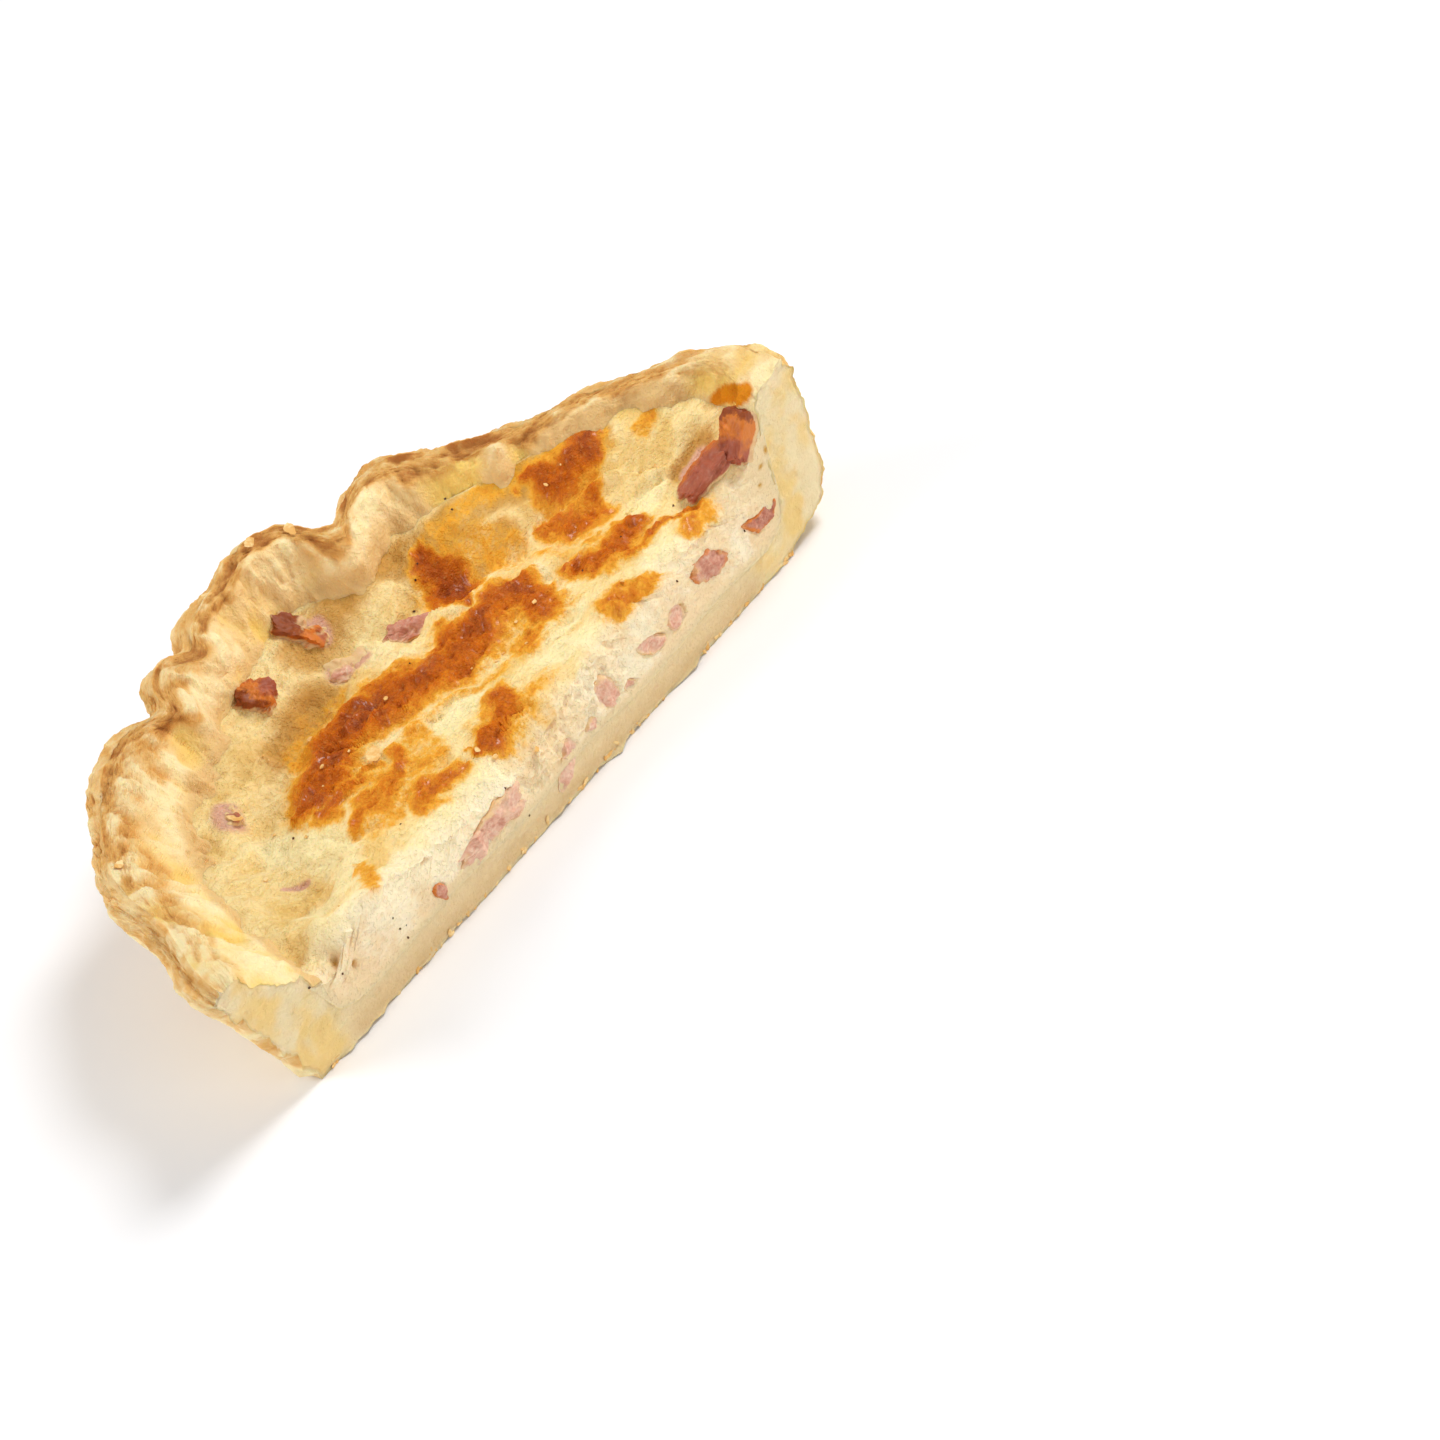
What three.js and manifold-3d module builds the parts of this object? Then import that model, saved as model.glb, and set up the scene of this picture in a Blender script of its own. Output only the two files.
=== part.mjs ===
// One half of a small hand-raised quiche, cut straight across and resting on its base.
// The pastry shell is filled with baked egg custard, and dice of ham sit in its top and in
// the cut. Millimetres, +Z up, +X along the cut, the cut face towards -Y.
import * as THREE from "three";
import { mergeVertices } from "three/addons/utils/BufferGeometryUtils.js";
import Module from "manifold-3d";

// ---- driving dimensions -------------------------------------------------------------

// Outer edge of the rim: half its width along the cut, and its depth behind the cut.
const RIM_HALF_WIDTH = 57.5;
const RIM_DEPTH = 46.6;
// Outline of the base where the wall starts.
const FOOT_HALF_WIDTH = 47.5;
const FOOT_DEPTH = 39.0;
// Outline of the corner between the floor and the wall, inside the shell.
const CORNER_HALF_WIDTH = 41.5;
const CORNER_DEPTH = 35.5;
const CORNER_HEIGHT = 7.6;
const CORNER_EXTRA_RIGHT = 6.8;
// Rim height: its mean, and how much more the right end has than the left end.
const RIM_HEIGHT = 22.7;
const RIM_TILT = 1.0;
const RIM_RIGHT_LIFT = 0.9;
// Thickness of the dough under the custard, with the waves that baking leaves in it.
const FLOOR_THICKNESS = 4.4;
const FLOOR_WAVE = 0.35;
const FLOOR_WAVE_LENGTH = 27;
// Width of the rim's crest, from its outer edge to the inner slope and to its highest line.
const CREST_WIDTH = 4.8;
const CREST_EXTRA_LEFT = 0.6;
const CREST_EXTRA_RIGHT = 4.2;
const CREST_TO_TOP = 2.0;
// Uneven pinches of the hand-shaped rim. Each one pushes the rim out or in, and up or down,
// round an angle measured from the right-hand end of the cut.
const PINCHES = [
  { angle: 8, width: 8, reach: 2.2, lift: 0.6 },
  { angle: 38, width: 15, reach: -3.0, lift: -0.8 },
  { angle: 60, width: 6, reach: 2.4, lift: 0.3 },
  { angle: 72, width: 4.2, reach: -3.4, lift: -0.8 },
  { angle: 84, width: 9, reach: 3.8, lift: 1.4 },
  { angle: 97, width: 7, reach: 2.0, lift: 0.2 },
  { angle: 104, width: 2.5, reach: -1.0, lift: -0.8 },
  { angle: 110, width: 5, reach: 1.4, lift: 0.3 },
  { angle: 118, width: 3.5, reach: -2.0, lift: -0.6 },
  { angle: 130, width: 11, reach: 1.6, lift: 0.8 },
  { angle: 166, width: 11, reach: -3.4, lift: 0.2 },
];
// Height of the custard against the wall, every 20 degrees from the right end to the left.
const CUSTARD_EDGE = [19.5, 21.2, 19.2, 17.0, 15.6, 15.0, 14.6, 14.0, 12.6, 11.4];
// Custard inside that edge: the flat middle, and the hollow along the wall.
const CUSTARD_MIDDLE = 12.8;
const CUSTARD_SLOPE = 0.05;
const HOLLOW_DEPTH = 2.2;
const HOLLOW_PLACE = 0.8;
const HOLLOW_WIDTH = 0.09;
// The lip that the knife left on the custard at the left end of the cut.
const LIP = { start: -41.0, rise: 5.8, height: 5.4, length: 9, depth: 7 };
// Broad rises and dips of the custard: place, half-widths and height.
const SWELLS = [
  { x: -4, y: -2, wide: 7, deep: 5, height: -3.5 },
  { x: -20, y: 6, wide: 10, deep: 5, height: -0.5 },
  { x: 24, y: 2, wide: 16, deep: 8, height: 1.0 },
];
// Clearance kept between pieces that touch, and between the custard and the shell's facets.
const GAP = 0.3;
const SHELL_GAP = 0.45;
// Ham: size across, along and up, centre, turn about Z and lean about the piece's own X.
const HAM = [
  { name: "ham_top_back", size: [3.6, 7.0, 3.6], at: [2.5, 40.7, 14.0], turn: 26, lean: 31 },
  { name: "ham_top_left", size: [4.3, 4.7, 4.0], at: [-9.4, 37.5, 13.9], turn: 35, lean: 12 },
  { name: "ham_top_middle", size: [6.4, 3.0, 2.4], at: [10.0, 28.8, 11.2], turn: -40, lean: 20 },
  { name: "ham_top_sunk", size: [5.6, 3.6, 2.4], at: [2.2, 33.2, 10.1], turn: -29, lean: 18 },
  { name: "ham_top_corner", size: [3.4, 3.0, 2.4], at: [-26.2, 28.0, 11.9], turn: 60, lean: 0 },
  { name: "ham_top_right", size: [3.8, 8.0, 2.4], at: [42.6, 4.5, 16.6], turn: -119, lean: 30 },
  { name: "ham_rim_right", size: [4.0, 6.6, 3.4], at: [47.2, 1.7, 19.6], turn: -88, lean: 50 },
  { name: "ham_cut_1", size: [6.4, 4.0, 2.6], at: [45.2, 0.8, 8.8], turn: 0, lean: 6, roll: -10 },
  { name: "ham_cut_2", size: [6.8, 4.0, 3.4], at: [34.2, 0.6, 9.8], turn: 0, lean: 0, roll: 18 },
  { name: "ham_cut_3", size: [2.6, 3.4, 3.8], at: [26.2, 0.4, 8.6], turn: 6, lean: 0, roll: 14 },
  { name: "ham_cut_4", size: [4.6, 3.8, 2.9], at: [21.2, 0.6, 8.1], turn: 0, lean: 0, roll: 12 },
  { name: "ham_cut_5", size: [3.4, 4.0, 4.8], at: [12.0, 0.4, 7.9], turn: 0, lean: 0, roll: 20 },
  { name: "ham_cut_6", size: [2.2, 3.0, 1.8], at: [15.8, 0.4, 6.6], turn: 0, lean: 0, roll: 30 },
  { name: "ham_cut_7", size: [3.4, 3.4, 1.6], at: [7.6, 0.4, 5.9], turn: 0, lean: 0, roll: -24 },
  { name: "ham_cut_8", size: [2.4, 3.6, 5.4], at: [2.0, 0.4, 5.2], turn: 0, lean: 0, roll: -44 },
  { name: "ham_cut_9", size: [13.5, 4.4, 2.6], at: [-11.8, 0.6, 7.2], turn: 0, lean: 0, roll: -7 },
  { name: "ham_cut_10", size: [2.2, 2.8, 1.8], at: [-22.2, 0.3, 6.5], turn: 0, lean: 0, roll: 0 },
];
// Mesh fineness: rows from the middle of the cut to the edge, and steps up the cut face.
const CRUST_ROWS = 20;
const CUSTARD_ROWS = 15;
const FACE_STEPS = 3;
const HAM_STEPS = 3;
// Share of the rows that lie on the flat floor; the others climb the wall.
const FLAT_SHARE = 0.4;

// ---- curves -------------------------------------------------------------------------

const degrees = (angle) => (angle * 180) / Math.PI;
const bell = (distance, width) => Math.exp(-((distance / width) ** 2));
const smooth = (t) => {
  const c = Math.min(Math.max(t, 0), 1);
  return c * c * (3 - 2 * c);
};

/** Distance from the middle of the cut to an ellipse, in a direction. */
function ellipse(halfWidth, depth, angle) {
  return (halfWidth * depth) / Math.hypot(depth * Math.cos(angle), halfWidth * Math.sin(angle));
}

/** Uniform Catmull-Rom curve through the values; t runs from 0 to values.length - 1. */
function spline(values, t) {
  const last = values.length - 1;
  const i = Math.min(Math.max(Math.floor(t), 0), last - 1);
  const u = t - i;
  const b = values[i];
  const c = values[i + 1];
  const a = i > 0 ? values[i - 1] : 2 * b - c;
  const d = i < last - 1 ? values[i + 2] : 2 * c - b;
  const cubic = (-a + 3 * b - 3 * c + d) * u ** 3;
  return 0.5 * (2 * b + (c - a) * u + (2 * a - 5 * b + 4 * c - d) * u * u + cubic);
}

// ---- pastry shell -------------------------------------------------------------------

const nearRight = (angle, width) => bell(degrees(angle), width);
const nearLeft = (angle, width) => bell(180 - degrees(angle), width);

/** Sum of the pinches of one kind ("reach" or "lift") at an angle. */
function pinch(angle, kind) {
  return PINCHES.reduce((sum, p) => sum + p[kind] * bell(degrees(angle) - p.angle, p.width), 0);
}

const rimEdge = (angle) => ellipse(RIM_HALF_WIDTH, RIM_DEPTH, angle) + pinch(angle, "reach");

function rimHeight(angle) {
  const right = RIM_RIGHT_LIFT * nearRight(angle, 20);
  return RIM_HEIGHT + RIM_TILT * Math.cos(angle) + right + pinch(angle, "lift");
}

/** Outer skin: flat under the base, then up the bulging wall to the crest. */
function outerSkin(rho, angle) {
  const foot = ellipse(FOOT_HALF_WIDTH, FOOT_DEPTH, angle);
  if (rho < FLAT_SHARE) return { r: (foot * rho) / FLAT_SHARE, z: 0 };
  const edge = rimEdge(angle);
  const top = rimHeight(angle);
  const bulge = 1.5 - 0.3 * nearLeft(angle, 30) + 11 * nearRight(angle, 14);
  const wall = (s) => foot + (edge - foot) * (1 - (1 - s) ** bulge);
  const levels = [0.12, 0.35, 0.62];
  const radii = [foot, ...levels.map(wall), edge, edge - CREST_TO_TOP];
  const heights = [0, ...levels.map((s) => s * top), 0.9 * top, top];
  const t = ((rho - FLAT_SHARE) / (1 - FLAT_SHARE)) * (radii.length - 1);
  return { r: spline(radii, t), z: Math.max(spline(heights, t), 0) };
}

const floorHeight = (x) => FLOOR_THICKNESS + FLOOR_WAVE * Math.sin((2 * Math.PI * x) / FLOOR_WAVE_LENGTH);

/** Inner skin: the floor under the custard, then up the inner slope to the same crest. */
function innerSkin(rho, angle) {
  const corner =
    ellipse(CORNER_HALF_WIDTH + CORNER_EXTRA_RIGHT * nearRight(angle, 25), CORNER_DEPTH, angle) +
    0.5 * pinch(angle, "reach") * Math.sin(angle);
  const floorEdge = corner - 4.5;
  const floor = floorHeight(floorEdge * Math.cos(angle));
  if (rho < FLAT_SHARE) {
    const r = (floorEdge * rho) / FLAT_SHARE;
    return { r, z: floorHeight(r * Math.cos(angle)) };
  }
  const edge = rimEdge(angle);
  const top = rimHeight(angle);
  const left = CREST_EXTRA_LEFT * nearLeft(angle, 30);
  const crestIn = edge - CREST_WIDTH - left - CREST_EXTRA_RIGHT * nearRight(angle, 9);
  const bend = 1.25 + 0.25 * nearLeft(angle, 30) - 0.5 * bell(degrees(angle) - 90, 24);
  const slope = (s) => corner + (crestIn - corner) * s ** bend;
  const level = (s) => CORNER_HEIGHT + (top - 1 - CORNER_HEIGHT) * s;
  const radii = [floorEdge, corner - 1.2, corner, slope(0.3), slope(0.62), crestIn];
  const heights = [floor, FLOOR_THICKNESS + 1.0, CORNER_HEIGHT, level(0.3), level(0.62), top - 1];
  radii.push(edge - CREST_TO_TOP);
  heights.push(top);
  const t = ((rho - FLAT_SHARE) / (1 - FLAT_SHARE)) * (radii.length - 1);
  return { r: spline(radii, t), z: spline(heights, t) };
}

// ---- custard ------------------------------------------------------------------------

const custardEdge = (angle) => spline(CUSTARD_EDGE, degrees(angle) / 20);

/** The share of the inner skin at which its height reaches the custard's edge. */
function custardShare(angle) {
  let low = FLAT_SHARE;
  let high = 1;
  const height = custardEdge(angle);
  for (let step = 0; step < 24; step += 1) {
    const middle = (low + high) / 2;
    if (innerSkin(middle, angle).z > height) high = middle;
    else low = middle;
  }
  return (low + high) / 2;
}

/** Underside of the custard: the inner skin up to the custard's edge, less the gap. */
function custardUnder(rho, angle) {
  const { r, z } = innerSkin(rho * custardShare(angle), angle);
  return { r: Math.max(r - SHELL_GAP * rho, 0), z: z + GAP };
}

/** Top of the custard: a flat middle, a hollow along the wall, and a rise onto the wall. */
function custardTop(rho, angle) {
  const { r, z: edge } = custardUnder(1, angle);
  const x = rho * r * Math.cos(angle);
  const y = rho * r * Math.sin(angle);
  const climb = smooth((rho - 0.74) / 0.26);
  const inside = 1 - Math.max((rho - 0.9) / 0.1, 0) ** 2;
  const hollow = HOLLOW_DEPTH * bell(rho - HOLLOW_PLACE, HOLLOW_WIDTH);
  let z = (CUSTARD_MIDDLE + CUSTARD_SLOPE * x) * (1 - climb) + edge * climb;
  z -= hollow * (1 - 0.6 * nearRight(angle, 30)) * inside;
  for (const swell of SWELLS) {
    z += swell.height * bell(x - swell.x, swell.wide) * bell(y - swell.y, swell.deep) * inside;
  }
  const along = smooth((x - LIP.start) / LIP.rise) * bell(Math.max(x - LIP.start - LIP.rise, 0), LIP.length);
  z += LIP.height * along * bell(y, LIP.depth) * inside;
  return { r: rho * r, z };
}

// ---- solids -------------------------------------------------------------------------

/** Square to half-disc map: a in -1..1 along the cut and b in 0..1 behind it. */
function halfDisc(a, b) {
  const rho = Math.max(Math.abs(a), b);
  if (rho === 0) return { rho, angle: Math.PI / 2 };
  if (b >= Math.abs(a)) return { rho, angle: Math.PI / 2 - (Math.PI / 4) * (a / b) };
  const turn = (Math.PI / 4) * (b / Math.abs(a));
  return { rho, angle: a > 0 ? turn : Math.PI - turn };
}

/** Closed half-round solid between two skins that meet at their outer edge. */
function halfRound(rows, upper, lower) {
  const columns = 2 * rows;
  const positions = [];
  const index = [];
  const addGrid = (skin, flip) => {
    const start = positions.length / 3;
    for (let j = 0; j <= rows; j += 1) {
      for (let i = 0; i <= columns; i += 1) {
        const { rho, angle } = halfDisc((i - rows) / rows, j / rows);
        const { r, z } = skin(rho, angle);
        positions.push(r * Math.cos(angle), j === 0 ? 0 : r * Math.sin(angle), z);
      }
    }
    addQuads(index, start, columns, rows, flip);
    return start;
  };
  const top = addGrid(upper, false);
  const bottom = addGrid(lower, true);
  const face = positions.length / 3;
  for (let j = 0; j <= FACE_STEPS; j += 1) {
    for (let i = 0; i <= columns; i += 1) {
      for (let axis = 0; axis < 3; axis += 1) {
        const low = positions[3 * (bottom + i) + axis];
        const high = positions[3 * (top + i) + axis];
        positions.push(low + ((high - low) * j) / FACE_STEPS);
      }
    }
  }
  addQuads(index, face, columns, FACE_STEPS, false);
  const geometry = new THREE.BufferGeometry();
  geometry.setAttribute("position", new THREE.Float32BufferAttribute(positions, 3));
  geometry.setIndex(index);
  return geometry;
}

/** Two triangles for each cell of a grid of points. */
function addQuads(index, start, columns, rows, flip) {
  for (let j = 0; j < rows; j += 1) {
    for (let i = 0; i < columns; i += 1) {
      const p = start + j * (columns + 1) + i;
      const q = p + columns + 1;
      if (flip) index.push(p, q, p + 1, p + 1, q, q + 1);
      else index.push(p, p + 1, q, p + 1, q + 1, q);
    }
  }
}

/** An uneven dice with soft corners: a box pulled towards its ellipsoid, with slow waves. */
function dice(piece, grow) {
  const [wide, long, high] = piece.size.map((side) => side + 2 * grow);
  const geometry = new THREE.BoxGeometry(1, 1, 1, HAM_STEPS, HAM_STEPS, HAM_STEPS);
  const points = geometry.getAttribute("position");
  const point = new THREE.Vector3();
  const [phase] = piece.at;
  for (let i = 0; i < points.count; i += 1) {
    point.fromBufferAttribute(points, i);
    const round = point.clone().normalize().multiplyScalar(0.62);
    point.lerp(round, 0.45);
    const wave = 1 + 0.07 * Math.sin(7 * point.x + phase) * Math.cos(6 * point.y - 2 * phase);
    point.multiplyScalar(wave);
    points.setXYZ(i, point.x * wide, point.y * long, point.z * high);
  }
  const radians = (angle) => (angle * Math.PI) / 180;
  geometry.rotateX(radians(piece.lean));
  geometry.rotateY(radians(-(piece.roll ?? 0)));
  geometry.rotateZ(radians(piece.turn));
  geometry.translate(...piece.at);
  return geometry;
}

// ---- joining and cutting ------------------------------------------------------------

const wasm = await Module();
wasm.setup();

function toSolid(geometry) {
  const plain = geometry.clone();
  plain.deleteAttribute("normal");
  plain.deleteAttribute("uv");
  const merged = mergeVertices(plain, 1e-4);
  const faces = [];
  const index = merged.index.array;
  for (let i = 0; i < index.length; i += 3) {
    const [a, b, c] = index.slice(i, i + 3);
    if (a !== b && b !== c && c !== a) faces.push(a, b, c);
  }
  const mesh = new wasm.Mesh({
    numProp: 3,
    vertProperties: Float32Array.from(merged.getAttribute("position").array),
    triVerts: Uint32Array.from(faces),
  });
  return new wasm.Manifold(mesh);
}

function toGeometry(solid) {
  const mesh = solid.getMesh();
  const geometry = new THREE.BufferGeometry();
  geometry.setAttribute("position", new THREE.Float32BufferAttribute(mesh.vertProperties, 3));
  geometry.setIndex(Array.from(mesh.triVerts));
  geometry.computeVertexNormals();
  return geometry;
}

// Room inside the shell, clear of it by the gap, open up to the height of the rim.
const roomUnder = (rho, angle) => {
  const { r, z } = innerSkin(rho, angle);
  return { r: Math.max(r - GAP * rho, 0), z: z + GAP };
};
const roomLid = (rho, angle) => {
  const edge = roomUnder(1, angle);
  return { r: rho * edge.r, z: edge.z };
};
const room = toSolid(halfRound(CRUST_ROWS, roomLid, roomUnder));

const crustSolid = toSolid(halfRound(CRUST_ROWS, innerSkin, outerSkin));
let custardSolid = toSolid(halfRound(CUSTARD_ROWS, custardTop, custardUnder));
const hamSolids = [];
for (const piece of HAM) {
  let solid = toSolid(dice(piece, 0)).intersect(room);
  for (const other of hamSolids) solid = solid.subtract(other.pocket);
  const pocket = toSolid(dice(piece, GAP));
  custardSolid = custardSolid.subtract(pocket);
  hamSolids.push({ name: piece.name, solid, pocket });
}

// ---- materials and scene ------------------------------------------------------------

const material = (color, roughness) => new THREE.MeshStandardMaterial({ color, roughness, metalness: 0 });
const pieces = [
  { name: "crust", solid: crustSolid, look: material(0xe2bd7c, 0.7) },
  { name: "custard", solid: custardSolid, look: material(0xf0dca0, 0.5) },
  ...hamSolids.map(({ name, solid }) => ({ name, solid, look: material(0xc8837a, 0.45) })),
];

const quiche = new THREE.Group();
for (const { name, solid, look } of pieces) {
  const mesh = new THREE.Mesh(toGeometry(solid), look);
  mesh.name = name;
  quiche.add(mesh);
}
// The origin is the middle of the underside of the whole piece's box.
const box = new THREE.Box3().setFromObject(quiche);
const middle = box.getCenter(new THREE.Vector3());
quiche.position.set(-middle.x, -middle.y, -box.min.z);

export default quiche;
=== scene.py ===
"""Half of a small ham quiche, cut straight across and resting on its base, as a finished model.

Lengths are millimetres in the quiche's own frame, with its origin at the middle of the cut line
of the base, X along the cut, Y into the quiche and Z up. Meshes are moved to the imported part's
frame and turned to metres when they are made.
"""

import bpy
import numpy as np
from mathutils import Matrix, Vector


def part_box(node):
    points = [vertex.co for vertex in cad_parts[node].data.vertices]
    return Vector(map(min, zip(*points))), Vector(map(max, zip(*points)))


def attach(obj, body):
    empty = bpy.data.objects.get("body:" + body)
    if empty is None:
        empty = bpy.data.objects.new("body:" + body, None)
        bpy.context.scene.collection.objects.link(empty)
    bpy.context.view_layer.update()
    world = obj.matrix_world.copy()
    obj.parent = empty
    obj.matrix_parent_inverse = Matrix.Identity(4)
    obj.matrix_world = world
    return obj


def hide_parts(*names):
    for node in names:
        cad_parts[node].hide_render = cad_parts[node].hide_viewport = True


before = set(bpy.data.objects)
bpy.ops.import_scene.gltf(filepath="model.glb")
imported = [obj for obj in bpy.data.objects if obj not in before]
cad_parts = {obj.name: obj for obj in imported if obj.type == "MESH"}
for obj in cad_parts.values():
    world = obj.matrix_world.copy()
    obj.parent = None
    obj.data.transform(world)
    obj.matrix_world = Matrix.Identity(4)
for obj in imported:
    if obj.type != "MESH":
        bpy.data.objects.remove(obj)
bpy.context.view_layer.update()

# ---- Table, camera and light --------------------------------------------------------
# The quiche stands on a plain pale table. A long lens looks down on the cut from the front
# left, leaning to one side, and big soft lamps light it from above, the left and the front.

MM = 0.001
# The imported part's box is centred on its origin. The rim reaches further out at the right end
# of the cut than at the left, so the cut line's middle lies that much left of the box's middle.
CUT_TO_LEFT = 1.21
crust_lowest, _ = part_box("crust")
CUT_MIDDLE = np.array([-CUT_TO_LEFT, crust_lowest[1] / MM, 0.0])

CAMERA_AZIMUTH = np.radians(-41.624)
CAMERA_ELEVATION = np.radians(38.705)
CAMERA_LEAN = np.radians(-19.505)
CAMERA_PLACE = np.array([-230.19, -289.70, 300.57])
# Focal length and sensor width in millimetres, and how far the camera sees in metres.
LENS, SENSOR_WIDTH, SIGHT = 100.0, 36.0, 10.0


def axes_towards(azimuth, elevation, lean):
    """Right, up and back of a view: back points from the object to the eye, right is level,
    and both right and up are then turned about back by the lean."""
    sa, ca = np.sin(azimuth), np.cos(azimuth)
    se, ce = np.sin(elevation), np.cos(elevation)
    back = np.array([sa * ce, -ca * ce, se])
    level = np.array([ca, sa, 0.0])
    upright = np.cross(back, level)
    right = np.cos(lean) * level + np.sin(lean) * upright
    return right, np.cross(back, right), back


def placed(axes, place):
    """Matrix of a camera or lamp with those axes at a place of the quiche's frame."""
    matrix = Matrix.Identity(4)
    for column, axis in enumerate(axes):
        matrix.col[column][:3] = axis
    matrix.translation = Vector((place + CUT_MIDDLE) * MM)
    return matrix


view_axes = axes_towards(CAMERA_AZIMUTH, CAMERA_ELEVATION, CAMERA_LEAN)
lens = bpy.data.cameras.new("camera")
lens.lens = LENS
lens.sensor_width = SENSOR_WIDTH
lens.clip_end = SIGHT
camera = bpy.data.objects.new("camera", lens)
camera.matrix_world = placed(view_axes, CAMERA_PLACE)
bpy.context.collection.objects.link(camera)
bpy.context.scene.camera = camera

# Lamps: direction from the quiche as (right, up, back) of the view, distance, size and watts.
LAMPS = {
    "lamp_above": ((0.20, 0.92, 0.25), 620.0, 260.0, 2.5),
    "lamp_left": ((-0.90, 0.05, 0.35), 640.0, 360.0, 2.2),
    "lamp_front": ((0.80, -0.10, 0.60), 700.0, 460.0, 2.05),
}
QUICHE_MIDDLE = np.array([0.0, 20.0, 10.0])
for name, (direction, distance, size, watts) in LAMPS.items():
    towards = sum(part * axis for part, axis in zip(direction, view_axes))
    towards = towards / np.linalg.norm(towards)
    side = np.cross(view_axes[1], towards)
    side = side / np.linalg.norm(side)
    lamp = bpy.data.lights.new(name, "AREA")
    lamp.shape = "DISK"
    lamp.size = size * MM
    lamp.energy = watts
    holder = bpy.data.objects.new(name, lamp)
    lamp_axes = (side, np.cross(towards, side), towards)
    holder.matrix_world = placed(lamp_axes, QUICHE_MIDDLE + distance * towards)
    bpy.context.collection.objects.link(holder)

ROOM_COLOUR, ROOM_LIGHT = (1.0, 0.99, 0.975), 0.40
world = bpy.data.worlds.new("studio")
world.use_nodes = True
background = world.node_tree.nodes["Background"].inputs
background["Color"].default_value = (*ROOM_COLOUR, 1.0)
background["Strength"].default_value = ROOM_LIGHT
bpy.context.scene.world = world
bpy.context.scene.view_settings.view_transform = "Standard"
bpy.context.scene.view_settings.look = "None"


class Socket:
    """One socket of a material's nodes. Sums, differences and products add Math nodes."""

    def __init__(self, tree, socket):
        self.tree = tree
        self.socket = socket

    def node(self, kind, settings=None, inputs=None, out=0):
        """Adds a node of that kind, sets its settings and then its sockets, and gives one of
        its outputs."""
        made = self.tree.nodes.new("ShaderNode" + kind)
        for name, value in (settings or {}).items():
            setattr(made, name, value)
        for name, value in (inputs or {}).items():
            if isinstance(value, Socket):
                self.tree.links.new(value.socket, made.inputs[name])
            else:
                made.inputs[name].default_value = value
        return Socket(self.tree, made.outputs[out])

    def math(self, operation, *values):
        """A Math node on these values."""
        return self.node("Math", {"operation": operation}, dict(enumerate(values)))

    def __add__(self, other):
        return self.math("ADD", self, other)

    def __mul__(self, other):
        return self.math("MULTIPLY", self, other)

    def __sub__(self, other):
        return self.math("SUBTRACT", self, other)

    def __rsub__(self, other):
        return self.math("SUBTRACT", other, self)

    __radd__ = __add__
    __rmul__ = __mul__

    def swing(self, amount):
        """A noise about 0.5 turned into a push either way: (value - 0.5) x amount."""
        return (self - 0.5) * amount

    def between(self, low, high):
        """0 below low, 1 above high, and a soft ramp between them."""
        settings = {"interpolation_type": "SMOOTHSTEP"}
        inputs = {"Value": self, "From Min": low, "From Max": high}
        return self.node("MapRange", settings, inputs)

    def mix(self, colour_low, colour_high):
        """The first colour where this value is 0 and the second where it is 1."""
        inputs = {0: self}
        for place, colour in ((6, colour_low), (7, colour_high)):
            inputs[place] = colour if isinstance(colour, Socket) else (*colour, 1.0)
        return self.node("Mix", {"data_type": "RGBA"}, inputs, out=2)

    def noise(self, size, detail=3.0, roughness=0.55, stretch=(1.0, 1.0, 1.0)):
        """Noise on these coordinates, with features of that size in millimetres."""
        scaled = self.node("Mapping", None, {"Vector": self, "Scale": stretch})
        inputs = {"Vector": scaled, "Scale": 1.0 / (size * MM)}
        inputs.update({"Detail": detail, "Roughness": roughness})
        return self.node("TexNoise", None, inputs)

    def attribute(self, name, out=2):
        """A value painted on the mesh's points, or with out=1 a vector."""
        return self.node("Attribute", {"attribute_name": name}, None, out=out)


def linear(red, green, blue):
    """Linear light of a display colour given in 0..255."""
    channel = np.array([red, green, blue]) / 255.0
    low = channel / 12.92
    high = ((channel + 0.055) / 1.055) ** 2.4
    return tuple(float(v) for v in np.where(channel <= 0.04045, low, high))


def new_material(name, shader_values):
    """A material with a Principled shader: gives it, its shader and its object coordinates."""
    material = bpy.data.materials.new(name)
    material.use_nodes = True
    tree = material.node_tree
    shader = tree.nodes["Principled BSDF"]
    for socket, value in shader_values.items():
        shader.inputs[socket].default_value = value
    place = Socket(tree, None).node("TexCoord", None, None, out=3)
    return material, shader, place


def finish_material(place, shader, colour, roughness, height, strength, distance):
    """Joins a colour, a roughness and a bump of that height in millimetres to the shader."""
    links = place.tree.links
    links.new(colour.socket, shader.inputs["Base Color"])
    links.new(roughness.socket, shader.inputs["Roughness"])
    inputs = {"Height": height, "Strength": strength, "Distance": distance * MM}
    links.new(place.node("Bump", None, inputs).socket, shader.inputs["Normal"])


TABLE_SIZE = 3000.0
TABLE_COLOUR = linear(248, 248, 250)
table_mesh = bpy.data.meshes.new("table")
half = TABLE_SIZE * MM / 2
corners = [(-half, -half, 0), (half, -half, 0), (half, half, 0), (-half, half, 0)]
table_mesh.from_pydata(corners, [], [(0, 1, 2, 3)])
table = bpy.data.objects.new("table", table_mesh)
bpy.context.collection.objects.link(table)
table_look = {"Base Color": (*TABLE_COLOUR, 1.0), "Roughness": 0.6}
table_mesh.materials.append(new_material("table", table_look)[0])

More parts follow.
